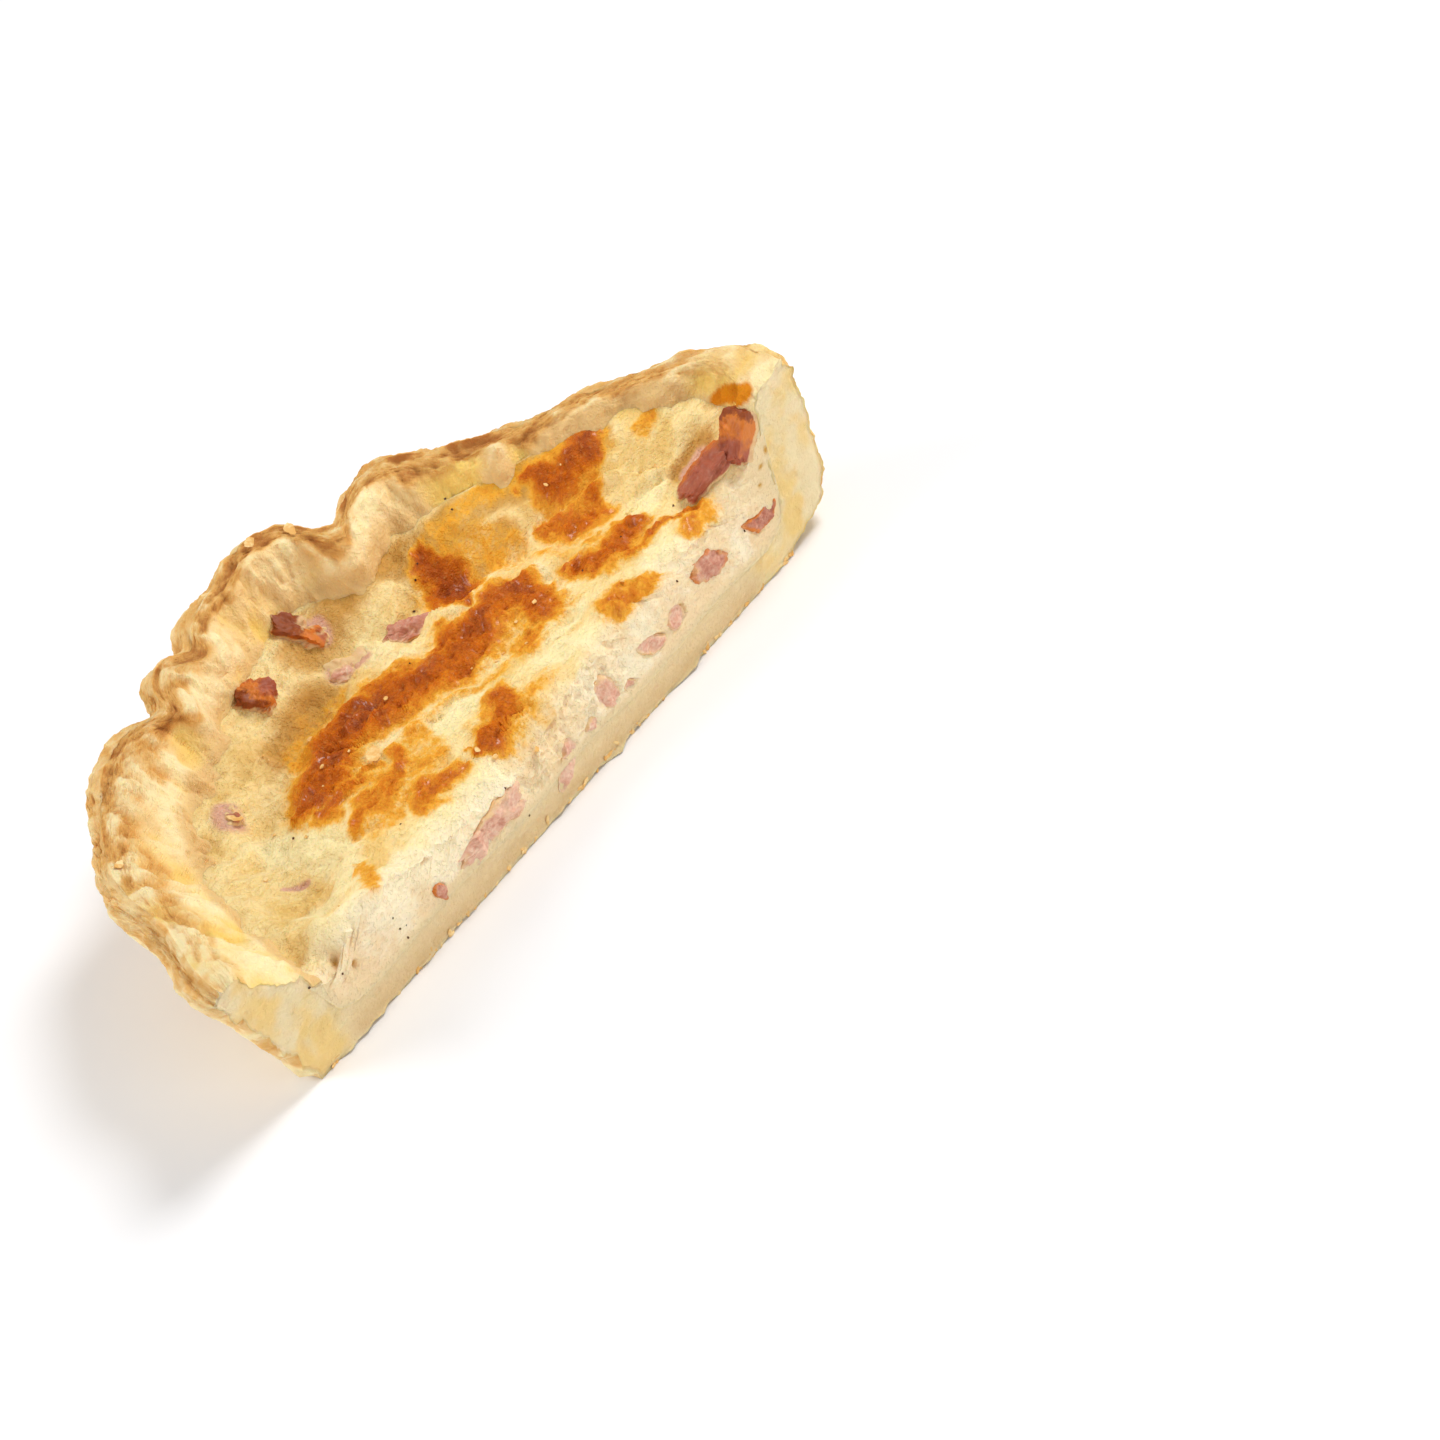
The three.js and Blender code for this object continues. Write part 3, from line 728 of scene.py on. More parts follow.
# Browned patches: how dark, how high they stand, and a chain of discs (x, y, radius).
PATCHES = {
    "back": (0.96, 0.3, [(32.4, 25.0, 1.8), (34.4, 22.8, 3.4), (36.6, 20.8, 3.0), (41.2, 20.2, 1.7)]),
    "dark": (1.02, -0.2, [(19.4, 32.2, 1.6), (18.8, 29.4, 3.4), (17.0, 26.4, 3.9), (14.2, 23.8, 1.8)]),
    "dark_side": (0.30, 0.0, [(15.0, 31.0, 1.5), (13.2, 27.0, 2.0), (12.8, 24.6, 1.2)]),
    "middle": (0.90, 0.8, [(9.5, 16.6, 4.2), (15.8, 17.8, 3.6), (18.4, 16.0, 3.2), (16.8, 12.2, 4.2)]),
    "middle_low": (0.62, 0.4, [(10.2, 10.2, 1.8), (12.6, 10.2, 1.4)]),
    "joining": (0.92, 0.8, [(0.4, 19.8, 5.0), (5.0, 18.0, 4.4), (10.5, 16.6, 4.2)]),
    "button": (0.85, 0.5, [(6.2, 21.6, 1.8), (8.2, 21.4, 2.4)]),
    "band": (0.98, 0.9, [(-10.0, 24.2, 4.4), (-6.0, 24.2, 5.0), (0.4, 19.8, 5.0)]),
    "band_end": (0.95, 0.9, [(-20.6, 20.6, 2.6), (-16.4, 21.2, 4.8), (-12.0, 22.4, 4.6)]),
    "band_foot": (0.70, 0.4, [(-20.6, 17.2, 2.0), (-15.4, 17.0, 1.5), (-13.0, 16.6, 1.1)]),
    "band_top": (0.45, 0.2, [(-14.6, 26.4, 2.2), (-8.0, 28.0, 2.4), (-2.0, 26.6, 2.2), (2.0, 23.0, 1.8)]),
    "front": (0.86, 0.7, [(2.8, 7.0, 2.6), (0.8, 5.2, 3.4), (-2.6, 4.4, 2.6), (-5.6, 5.0, 1.1)]),
    "front_tail": (0.32, 0.3, [(3.8, 3.6, 1.8), (7.6, 3.4, 1.8)]),
    "glossy": (0.58, 0.6, [(19.4, 2.6, 2.4), (22.0, 1.4, 2.6), (25.4, 0.2, 1.5)]),
    "right": (0.84, 0.6, [(23.6, 11.0, 2.2), (27.0, 8.6, 3.2), (30.8, 9.2, 3.0), (34.2, 8.8, 1.7)]),
    "right_low": (0.50, 0.4, [(25.0, 6.8, 1.5), (28.0, 6.0, 1.2)]),
    "right_line": (0.72, 0.2, [(27.8, 5.9, 0.8), (32.0, 5.5, 1.2), (35.5, 5.1, 0.9), (39.0, 4.4, 0.7)]),
    "rear_right": (0.70, 0.4, [(28.8, 20.2, 1.8), (30.8, 17.2, 3.8), (33.6, 16.4, 2.8), (36.4, 17.4, 1.2)]),
    "rear": (0.32, 0.2, [(22.0, 21.4, 1.8), (23.4, 23.4, 2.4), (24.6, 26.0, 1.9)]),
    "rear_dot": (0.28, 0.2, [(24.6, 18.6, 1.4), (25.2, 15.6, 2.0)]),
    "over_right": (0.40, 0.2, [(27.6, 13.0, 1.2), (29.6, 12.2, 1.1)]),
    "corner": (0.50, 0.4, [(34.4, 1.4, 2.0), (38.4, 2.8, 2.3)]),
    "left": (0.66, 0.5, [(-20.8, 11.8, 1.8), (-17.0, 12.0, 3.0), (-13.2, 12.8, 3.1), (-10.0, 14.4, 1.9)]),
    "left_low": (0.66, 0.5, [(-15.0, 5.8, 1.9), (-12.6, 7.2, 3.5), (-9.4, 6.4, 1.9)]),
    "left_veil": (0.36, 0.1, [(-19.0, 9.0, 2.6), (-14.0, 10.0, 2.6), (-8.6, 11.0, 2.6), (-6.0, 14.0, 2.2)]),
    "dab": (0.40, 0.2, [(-30.2, 0.4, 1.1), (-28.0, 3.6, 1.3), (-25.4, 7.0, 0.9)]),
    "far_dab": (0.38, 0.0, [(43.4, 14.6, 1.4), (46.4, 14.2, 1.2)]),
    # Golden tint along the back wall and in the back hollow: partly browning, partly painted shade where
    # the wall shades the hollow.
    "wall_dab": (0.34, 0.0, [(22.5, 32.5, 2.2), (28.0, 29.6, 2.6), (34.0, 26.0, 2.2), (41.5, 19.1, 1.8)]),
    "back_hollow_gold_and_shade": (0.26, 0.0, [(21.0, 31.6, 2.2), (23.6, 27.6, 3.0), (25.0, 23.0, 2.4)]),
    "crease": (0.32, 0.3, [(-5.5, 14.9, 1.5), (-1.5, 13.8, 1.0), (2.5, 12.2, 1.0), (7.0, 10.8, 1.2)]),
    # Partly painted shade: the dull ochre that sank below the ham pieces.
    "ochre_and_shade": (0.30, -0.2, [(-14.0, 28.6, 2.0), (-8.5, 30.4, 2.4), (-3.0, 30.8, 1.8)]),
}
# Zones of white cream, of yolk-yellow, and of dull ochre where the filling sank; the ochre is partly the
# custard's own tone and partly painted shade in those hollows.
CREAM_ZONES = (
    [(-8.0, 18.2, 1.4), (-3.0, 12.4, 2.4), (1.0, 10.6, 1.4)],
    [(2.5, 14.2, 1.0), (9.0, 13.0, 1.2)],
    [(12.8, 21.4, 1.3), (18.4, 22.0, 1.0)],
    [(22.0, 17.0, 0.9), (21.4, 12.8, 1.1), (18.0, 7.4, 1.6), (11.0, 8.2, 1.2)],
    [(-27.0, 22.0, 2.0), (-25.0, 13.0, 2.6), (-28.0, 7.0, 2.0)],
    [(4.5, 31.0, 2.4), (4.0, 27.0, 1.6), (4.4, 23.6, 1.0)],
    [(36.4, 10.8, 1.8), (40.0, 10.6, 1.2)],
    [(-37.0, 3.0, 2.4), (-27.0, 0.6, 2.4), (-18.0, 2.4, 2.2), (-7.0, 1.4, 1.6)],
    [(-33.0, 9.0, 2.2), (-29.0, 8.0, 2.2)],
    [(10.0, 5.6, 2.2), (15.0, 3.0, 1.6)],
    [(27.6, 22.4, 0.9), (30.0, 22.0, 0.6)],
    [(27.0, 2.6, 1.6), (31.0, 2.6, 1.6)],
)
YOLK_ZONES = (
    [(-22.0, 9.0, 1.6), (-25.0, 5.0, 1.4)],
    [(-15.0, 15.0, 1.4), (-6.0, 15.0, 1.4)],
    [(22.0, 32.0, 2.4), (31.0, 28.0, 2.4), (40.0, 17.0, 2.0)],
    [(27.0, 13.4, 1.6), (29.0, 11.8, 1.0)],
    [(44.0, 14.0, 3.0), (46.0, 18.0, 2.0)],
    [(9.0, 10.0, 1.6), (4.0, 9.6, 1.2)],
)
OCHRE_AND_SHADE_ZONES = (
    [(-14.0, 30.0, 2.6), (-4.0, 33.0, 3.0)],
    [(-1.0, 38.5, 3.0), (8.5, 38.0, 3.2), (15.5, 36.6, 3.2)],
    [(15.5, 36.0, 3.0), (24.0, 31.2, 3.2), (33.0, 26.4, 2.4), (41.5, 19.1, 2.0)],
    [(21.0, 26.0, 1.6), (26.0, 25.0, 2.0)],
    [(42.0, 8.6, 1.6), (46.0, 7.0, 1.6)],
)
# Places where the filling lies so thin over ham that it looks pink.
VEIL_ZONES = (
    [(42.0, 7.6, 0.8), (44.6, 6.6, 1.2)],
    [(3.6, 37.4, 1.0), (4.6, 38.6, 1.0)],
    [(0.6, 33.6, 1.6), (3.4, 32.0, 1.6)],
    [(-27.0, 27.0, 1.8), (-25.6, 28.6, 1.6)],
    [(1.0, 41.4, 1.2), (3.8, 38.2, 1.6)],
    [(-29.0, 14.0, 0.45), (-31.0, 16.0, 0.45)],
)
# The front edge of the raised middle, where it folds over the sunken back.
FOLD = np.array([(12.6, 24.4), (14.2, 22.4), (17.4, 22.9), (20.2, 23.6), (21.4, 20.8), (24.4, 21.2),
                 (27.2, 22.4), (29.6, 21.4), (32.0, 20.0), (35.0, 18.4), (38.4, 16.4), (41.0, 12.0)])
FOLD_HEIGHT, FOLD_LENGTH, FOLD_MIDDLE, FOLD_HALF = 1.1, 7.0, 26.5, 13.5
# Cracks in the browned skin and creases in the pale: points, width and depth.
CRACKS = (
    ([(-13.0, 25.0), (-11.7, 22.6), (-10.6, 20.2)], 0.30, 0.6),
    ([(-14.8, 24.8), (-17.0, 23.4), (-19.0, 23.0)], 0.30, 0.5),
    ([(-14.6, 20.6), (-16.4, 19.6), (-18.0, 18.4)], 0.25, 0.5),
    ([(-2.6, 4.2), (0.0, 3.6), (2.6, 2.8)], 0.22, 0.4),
    ([(-1.6, 5.0), (1.2, 4.2), (3.2, 3.0)], 0.22, 0.4),
    ([(-41.6, 8.0), (-41.2, 5.6), (-39.6, 3.2), (-38.6, 0.0)], 0.6, 0.12),
    ([(35.4, 12.0), (38.4, 12.4), (40.4, 11.0), (41.0, 9.0)], 0.5, 0.8),
    ([(-4.0, 13.6), (2.5, 11.8), (8.0, 11.4)], 0.6, 0.5),
    ([(13.0, 6.6), (16.0, 5.2)], 0.4, 0.4),
    ([(-24.0, 16.0), (-23.4, 12.0), (-20.0, 9.0)], 0.6, 0.4),
    ([(4.0, 15.6), (6.6, 14.6), (9.0, 15.0)], 0.4, 0.4),
)
# Little sunken pores: place, radius and depth.
PORES = ((16.6, 35.4, 1.0, 0.5), (41.7, 15.7, 0.9, 0.4), (-17.6, 7.9, 0.7, 0.3), (24.6, 31.4, 0.3, 0.3),
         (-38.8, 1.0, 0.8, 0.8))


def chain_reach(x, y, chain):
    """Distance to a chain of discs (x, y, radius), over their radius: for each span of the
    chain, the distance to its line over the radius there, and of these the least."""
    start, end = np.array(chain[:-1], float), np.array(chain[1:], float)
    span = end - start
    dx, dy = x[..., None] - start[:, 0], y[..., None] - start[:, 1]
    t = (dx * span[:, 0] + dy * span[:, 1]) / (span[:, 0] ** 2 + span[:, 1] ** 2)
    t = np.clip(t, 0, 1)
    distance = np.hypot(dx - t * span[:, 0], dy - t * span[:, 1])
    return (distance / (start[:, 2] + t * span[:, 2])).min(-1)


def side_distance(x, y, line):
    """Distance to a line of points, counted below zero on its left as it is drawn."""
    start, span = line[:-1], np.diff(line, axis=0)
    dx, dy = x[..., None] - start[:, 0], y[..., None] - start[:, 1]
    t = np.clip((dx * span[:, 0] + dy * span[:, 1]) / (span**2).sum(-1), 0, 1)
    distance = np.hypot(dx - t * span[:, 0], dy - t * span[:, 1])
    nearest = distance.argmin(-1)[..., None]
    side = np.sign(dx * span[:, 1] - dy * span[:, 0])
    return np.take_along_axis(distance * side, nearest, -1)[..., 0]


def zone(x, y, chains):
    """How deep a point lies in the nearest of some chains: 1 in its middle and 0 outside."""
    return np.max([1 - smooth((chain_reach(x, y, chain) - 0.3) / 1.3) for chain in chains], 0)


def custard_base(x, y, ring, edge, angle):
    """Height of the custard before its small relief: a sloping middle blended into its edge up
    the wall, less a bell-shaped hollow along the wall, with the swells and the lip at the
    left. The second value is 1 inside and falls to 0 at the edge."""
    climb = smooth((ring - 0.74) / 0.26)
    inside = 1 - np.clip((ring - 0.9) / 0.1, 0, 1) ** 2
    z = (CUSTARD_MIDDLE + CUSTARD_SLOPE * x) * (1 - climb) + edge * climb
    hollow = HOLLOW_DEPTH * bell(ring - HOLLOW_PLACE, HOLLOW_WIDTH)
    z -= hollow * (1 - 0.6 * near_right(angle, 30)) * inside
    for at_x, at_y, wide, deep, height in SWELLS:
        z += height * bell(x - at_x, wide) * bell(y - at_y, deep) * inside
    along = smooth((x - LIP_START) / LIP_RISE)
    along = along * bell(np.maximum(x - LIP_START - LIP_RISE, 0), LIP_LENGTH)
    return z + LIP_HEIGHT * along * bell(y, LIP_DEPTH) * inside, inside


def warped(x, y):
    """The point moved a little by noise, so that nothing drawn there has an even outline."""
    plan = in_plane(x, y)
    coarse = [grain(plan, 3.6, seed, 2) for seed in (61, 62)]
    fine = [0.45 * grain(plan, 1.0, seed, 3) for seed in (70, 71)]
    return x + coarse[0] + fine[0], y + coarse[1] + fine[1]


def browning_of(x, y):
    """How far the custard browned: the darkest of the patches there, each falling off round
    its chain of discs."""
    x, y = warped(x, y)
    reaches = [(dark, chain_reach(x, y, chain)) for dark, _, chain in PATCHES.values()]
    return np.max([dark * (1 - smooth((reach - 0.1) / 1.45)) for dark, reach in reaches], 0)


def wrinkles(x, y):
    """Folds of the skin: ridges where bent noise, drawn out along the cut, passes through
    zero, with smaller ones on them; about -0.5 in the valleys and 0.5 on the ridges."""
    plan = in_plane(x, y)
    bend = in_plane(grain(plan, 8.0, 91, 2), grain(plan, 8.0, 93, 2))
    large = 1 - 2 * np.abs(grain(plan + 3.0 * bend, 5.5, 95, 2, (0.5, 1, 1)))
    small = 1 - 2 * np.abs(grain(plan + 2.0 * bend, 2.0, 97, 3, (0.6, 1, 1)))
    return 0.50 * large + 0.22 * small - 0.30


def custard_relief(x, y):
    """Small relief of the custard's top: the domes of the browned patches, the fold, slow
    swells, crusty grain on what browned and wrinkles in the hollow, less cracks and pores."""
    plan = in_plane(x, y)
    wx, wy = warped(x, y)
    reaches = [(rise, chain_reach(wx, wy, chain)) for _, rise, chain in PATCHES.values()]
    domes = sum(rise * (1 - smooth((reach - 0.3) / 0.9)) for rise, reach in reaches)
    fold = side_distance(x, y, FOLD)
    terrace = FOLD_HEIGHT * smooth(fold / 0.7 + 0.5) * bell(np.maximum(fold, 0), FOLD_LENGTH)
    terrace *= bell(np.maximum(np.abs(x - FOLD_MIDDLE) - FOLD_HALF, 0), 3.0)
    cx, cy = (x + wx) / 2, (y + wy) / 2
    chains = [([(*point, width) for point in line], depth) for line, width, depth in CRACKS]
    cracks = [depth * bell(chain_reach(cx, cy, chain), 1.0) for chain, depth in chains]
    pores = [depth * bell(np.hypot(x - px, y - py) / r, 1.0) for px, py, r, depth in PORES]
    swell = 0.40 * grain(plan, 6.5, 71, 2) + 0.26 * grain(plan, 2.4, 73, 3)
    crusty = 0.42 * grain(plan, 1.2, 75, 3) * smooth((browning_of(x, y) - 0.4) / 0.3)
    curdled = 0.19 * grain(plan, 1.2, 77, 4)
    rounding = (1.5 + 0.5 * grain(plan, 1.4, 79, 3)) * bell(y, 1.5)
    small = terrace + swell + crusty + curdled + 0.85 * wrinkles(x, y) - rounding
    return np.minimum(domes, 1.0) + small - np.max(cracks, 0) - np.sum(pores, 0)


def filling_height(x, y):
    """Height of the filling at a place, or of the shell's inner skin beyond the filling."""
    angle, radius = np.arctan2(y, x), np.hypot(x, y)
    edge_radius, edge_height = inner_skin(filling_share(angle), angle)
    ring = radius / edge_radius
    z, inside = custard_base(x, y, np.minimum(ring, 1), edge_height, angle)
    beyond = inner_skin(share_reaching(0, radius, angle), angle)[1]
    return np.where(ring < 1, z + custard_relief(x, y) * inside, beyond)


ring, turn = half_disc(CUSTARD_ROWS)
share = filling_share(turn)
edge_radius, edge_height = inner_skin(share, turn)
wobble = BITE + 0.5 * grain(in_plane(turn * RIM_RADIUS), 5.0, 65, 3)
radius = ring * (edge_radius + wobble * smooth((ring - 0.8) / 0.2))
x, y = radius * np.cos(turn), radius * np.sin(turn)
y[0] = 0.0
z, inside = custard_base(x, y, ring, edge_height, turn)
# The upper edge of the cut is rounded and crumbly, so the top stops short of the cut's plane.
crumbling = np.maximum(0.7 + 0.5 * grain(in_plane(x), 1.6, 67, 3), 0.1)
setback = smooth((1 - ring) / 0.3) * crumbling
y = np.hypot(y, setback)
top = np.stack([x, y, z + custard_relief(x, y) * inside], -1)
bake = browning_of(x, y)
under_radius, under_height = inner_skin(ring * share, turn)
under = spread(under_radius + BITE * ring, under_height - 0.3, turn)
under[ring == 1.0] = top[ring == 1.0]

# The cut: curdy and torn by the knife between the middle and the right, smooth elsewhere.
# Holes in it: place (x, z), half width and half height.
HOLES = ((-36.9, 8.4, 0.4, 0.6), (14.6, 14.6, 0.6, 0.3), (-22.0, 10.8, 0.5, 0.3),
         (47.6, 14.6, 0.5, 0.4), (49.2, 16.0, 0.4, 0.6), (46.6, 12.4, 0.4, 0.3), (27.6, 8.0, 0.3, 0.9))
CURDY_FROM, CURDY_TO = -6.0, 17.0
HOLE_DEPTH, POCKET_DEPTH = 0.9, 0.6
# How far the custard stands behind the cut's plane where it meets the dough.
SEAM_SETBACK = 0.035
# Cut faces of the ham: outlines (x, z) in the cut.
HAM_CUTS = {
    "ham_cut_1": [(41.7, 10.0), (42.4, 8.2), (43.6, 7.0), (46.4, 7.2), (48.6, 8.4), (48.0, 9.7),
                  (44.6, 9.4)],
    "ham_cut_2": [(30.3, 10.6), (32.0, 8.9), (34.6, 7.6), (37.8, 8.4), (36.6, 10.2), (33.8, 11.7)],
    "ham_cut_3": [(24.7, 8.6), (25.0, 6.6), (26.8, 6.5), (27.6, 8.0), (26.4, 9.5)],
    "ham_cut_4": [(18.3, 9.2), (19.6, 7.0), (22.2, 6.3), (23.8, 7.2), (22.6, 8.4), (20.4, 9.2)],
    "ham_cut_5": [(9.9, 9.6), (10.6, 7.2), (11.8, 5.4), (13.2, 6.0), (13.7, 7.8), (12.6, 9.9),
                  (11.0, 10.5)],
    "ham_cut_6": [(14.3, 6.2), (15.4, 5.0), (16.8, 5.6), (15.8, 6.8)],
    "ham_cut_7": [(6.3, 6.2), (8.2, 5.0), (9.6, 5.2), (8.4, 7.0)],
    "ham_cut_8": [(-0.6, 3.0), (0.4, 2.2), (2.6, 3.8), (4.5, 5.8), (3.4, 7.9), (1.4, 5.9)],
    "ham_cut_9": [(-19.4, 6.4), (-15.6, 5.2), (-9.0, 4.8), (-5.2, 6.0), (-6.0, 8.3), (-10.2, 8.9),
                  (-15.0, 8.2)],
    "ham_cut_10": [(-23.1, 7.1), (-22.6, 5.6), (-21.7, 4.9), (-21.3, 6.2), (-22.0, 7.3)],
}


def closed_curve(points, number):
    """Closed Catmull-Rom curve through the points, as that many places evenly in parameter."""
    again = np.array(points + points[:3], float)
    t = 1 + np.arange(number) * len(points) / number
    return np.stack([spline(list(column), t) for column in again.T], -1)


def outline_share(x, z, outline):
    """How far out a point lies in an outline: its distance from the outline's middle over the
    outline's own distance in that direction, read off a fine closed curve."""
    curve = closed_curve(outline, 96)
    middle = curve.mean(0)
    dx, dz = (curve - middle).T
    angle = np.arctan2(dz, dx)
    order = np.argsort(angle)
    there = np.arctan2(z - middle[1], x - middle[0])
    edge = np.interp(there, angle[order], np.hypot(dx, dz)[order], period=2 * np.pi)
    return np.hypot(x - middle[0], z - middle[1]) / edge


lift = np.linspace(0, 1, CUSTARD_FACE_STEPS + 1)[:, None]
face = under[0] * (1 - lift[..., None]) + top[0] * lift[..., None]
fx, fz = face[..., 0], face[..., 2]
to_border = np.minimum(fz - under[0, :, 2], 0.7 * (edge_radius[0] - np.abs(fx)))
deep_in = smooth((to_border - 0.9) / 1.4)
curdy = smooth((fx - CURDY_FROM) / 3) * smooth((CURDY_TO - fx) / 3)
curds = np.abs(grain(face, 1.5, 81, octaves=3))
torn = (0.25 + 0.50 * curdy) * (curds - 0.3) + 0.20 * grain(face, 5.0, 83, octaves=2)
holes = sum(bell(np.hypot((fx - hx) / wide, (fz - hz) / high), 1.0) for hx, hz, wide, high in HOLES)
nearest_ham = np.min([outline_share(fx, fz, line) for line in HAM_CUTS.values()], 0)
pockets = 1 - smooth((nearest_ham - 0.75) / 0.35)
behind = HOLE_DEPTH * holes + POCKET_DEPTH * pockets + torn * (1 - pockets)
behind = np.maximum(SEAM_SETBACK * (1 - deep_in) + deep_in * behind, -0.25)
face[..., 1] = behind + setback[0] * bell(top[0, :, 2] - fz, 1.6)
under[0, 1:-1, 1] = SEAM_SETBACK
face[0], face[-1] = under[0], top[0]
face[:, 0], face[:, -1] = top[0, 0], top[0, -1]

CREAM = linear(252, 232, 176)
CUSTARD_PALE = linear(250, 222, 158)
BUTTER = linear(238, 200, 120)
# Dull ochre, partly the custard's own tone and partly painted shade.
OCHRE_AND_SHADE = linear(206, 154, 76)
CUT_CREAM = linear(254, 235, 200)
CUT_BUTTER = linear(244, 215, 170)
DOUGH_NEAR = linear(236, 210, 164)
HAM_VEIL = linear(222, 172, 144)
YOLK = linear(242, 178, 56)
ORANGE = linear(214, 114, 12)
BROWN = linear(178, 84, 12)
DARK = linear(134, 50, 6)
TAN_SPECK = linear(206, 130, 62)
PIT_SHADE = linear(200, 144, 52)

custard_look = {
    "Subsurface Weight": 0.35, "Subsurface Radius": (1.0, 0.6, 0.3), "Subsurface Scale": 0.0012,
    "Specular IOR Level": 0.12, "Coat Roughness": 0.22,
}
custard_material, custard_shader, place = new_material("baked_custard", custard_look)
bake_paint, cream_paint, yolk_paint, ochre_and_shade_paint, cut_paint = (
    place.attribute(name) for name in ("bake", "cream", "yolk", "ochre_and_shade", "cut")
)
hole_shade_paint, veil_paint, dough_paint, high = (
    place.attribute(name) for name in ("hole_shade", "veil", "dough", "high")
)
broad = place.noise(4.5, 4.0, 0.6)
mottle = place.noise(1.3, 5.0, 0.7)
grit = place.noise(0.5, 3.0, 0.6)
streaks = place.noise(2.0, 6.0, 0.7, (0.35, 1.0, 1.0))
# Wrinkle valleys are painted yellower and ridges paler: partly the custard's own tone, partly painted shade
# and light on its relief.
cloudy = broad.swing(0.7) + mottle.swing(0.8) + grit.swing(0.5) - high * 0.7
ripe = (yolk_paint * 0.8 + cloudy - cream_paint * 0.8).between(-0.15, 0.85)
plain = ripe.mix(CUSTARD_PALE, BUTTER)
# Thin crease lines, pressed in by the bump and painted butter-yellow as painted shade in the creases.
folded = place.noise(1.9, 4.0, 0.6, (0.45, 1.0, 1.0))
shaded_crease = folded.between(0.43, 0.495) * (1 - folded.between(0.495, 0.56)) * (1 - cut_paint)
plain = (shaded_crease * 0.4).mix(plain, BUTTER)
streaked = streaks.swing(1.8) + mottle.swing(1.2) - cloudy * 0.4
plain = (cream_paint * 0.8 + streaked).between(-0.05, 0.75).mix(plain, CREAM)
# Dull ochre where the filling sank: partly its own tone, partly painted shade in the hollows.
plain = (ochre_and_shade_paint * 0.8 + cloudy * 0.5 - streaks.swing(0.5)).between(0.08, 0.98).mix(plain, OCHRE_AND_SHADE)
crumb = 0.5 + mottle.swing(1.6) + grit.swing(0.8) + yolk_paint * 0.5 - cream_paint * 0.4
plain = cut_paint.mix(plain, crumb.between(0.1, 0.9).mix(CUT_CREAM, CUT_BUTTER))
plain = dough_paint.mix(plain, DOUGH_NEAR)
plain = (veil_paint + mottle.swing(0.8) * veil_paint).between(0.1, 0.9).mix(plain, HAM_VEIL)
uneven = mottle.swing(0.7) + broad.swing(0.7) + grit.swing(0.3)
browning = bake_paint + uneven * bake_paint.between(0.02, 0.35)
golden = browning.between(0.02, 0.42).mix(plain, YOLK)
amber = browning.between(0.20, 0.80).mix(golden, ORANGE)
brown_skin = browning.between(0.60, 1.06).mix(amber, BROWN)
dark_skin = browning.between(0.92, 1.3).mix(brown_skin, DARK)
specks = grit.between(0.55, 0.70) * browning.between(0.5, 0.9) * 0.6
flecked = specks.mix(dark_skin, TAN_SPECK)
# Painted shade: the holes in the cut and the deepest pore are painted a darker yellow-brown.
custard_colour = hole_shade_paint.mix(flecked, PIT_SHADE)
pits = place.noise(0.32, 2.0, 0.5).between(0.30, 0.50)
grit_height = grit * (0.35 + browning.between(0.4, 0.8) * 0.5)
relief = mottle * 0.6 + pits * 0.35 - shaded_crease * 0.22 + grit_height
roughness = 0.50 - browning.between(0.3, 0.8) * 0.12 + cut_paint * 0.12
finish_material(place, custard_shader, custard_colour, roughness, relief, strength=0.85, distance=0.35)
gloss = broad.between(0.50, 0.62) * browning.between(0.3, 0.7) * 0.4
custard_material.node_tree.links.new(gloss.socket, custard_shader.inputs["Coat Weight"])

# Down the cut, the look of the top fades out over a millimetre or two.
depth_down = (top[0, :, 2] - fz) * (1 + 0.6 * grain(face, 3.0, 87, 3))
near_top = np.exp(-np.maximum(depth_down, 0) / 1.6)
# Painted shade with the ochre: in the listed zones, and a little all along the wall where the hollow lies.
ochre_and_shade = np.maximum(zone(x, y, OCHRE_AND_SHADE_ZONES), 0.12 * smooth((ring - 0.86) / 0.1))
# The wrinkles' relief is also stored for the colour, as painted shade in their valleys and painted light on
# their ridges.
cream, yolk, wrinkle_shading = zone(x, y, CREAM_ZONES), zone(x, y, YOLK_ZONES), wrinkles(x, y)
over_edge = 0.9 * bell(y / (2.4 + 1.4 * grain(top, 3.0, 85, 3)), 1.0)
# Painted shade inside the deepest pores.
pore_shade = np.sum([bell(np.hypot(x - px, y - py) / r, 0.7) * (d > 0.7) for px, py, r, d in PORES], 0)
curd = 0.5 * grain(face, 4.0, 89, 3, (1, 1, 0.6))
custard = solid_mesh(
    "custard_baked",
    [(under, True), (top, False), (face, False)],
    HALF_ROUND_LINKS,
    {
        "bake": (0.0, bake, bake[0] * near_top**2),
        "cream": (0.0, cream, cream[0] * near_top + (0.3 + curd) * (1 - near_top)),
        "high": (0.0, wrinkle_shading, wrinkle_shading[0] * near_top),
        "yolk": (0.0, yolk, yolk[0] * near_top + (0.2 - curd) * (1 - near_top)),
        "ochre_and_shade": (0.0, ochre_and_shade, ochre_and_shade[0] * near_top),
        "cut": (0.0, over_edge, 1 - 0.25 * near_top),
        "dough": (0.0, 0.0, 1 - smooth((to_border - 0.5 - 0.6 * curd) / 1.6)),
        "hole_shade": (0.0, pore_shade, smooth(holes)),
        "veil": (0.0, zone(x, y, VEIL_ZONES), 0.0),
    },
    custard_material,
)
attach(custard, "root")
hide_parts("custard")

# ---- Ham ----------------------------------------------------------------------------
# Dice of cooked ham, pressed into the filling before baking. Those that stand out of the top
# browned at their corners; those in the cut were sliced through and show pink, moist meat.

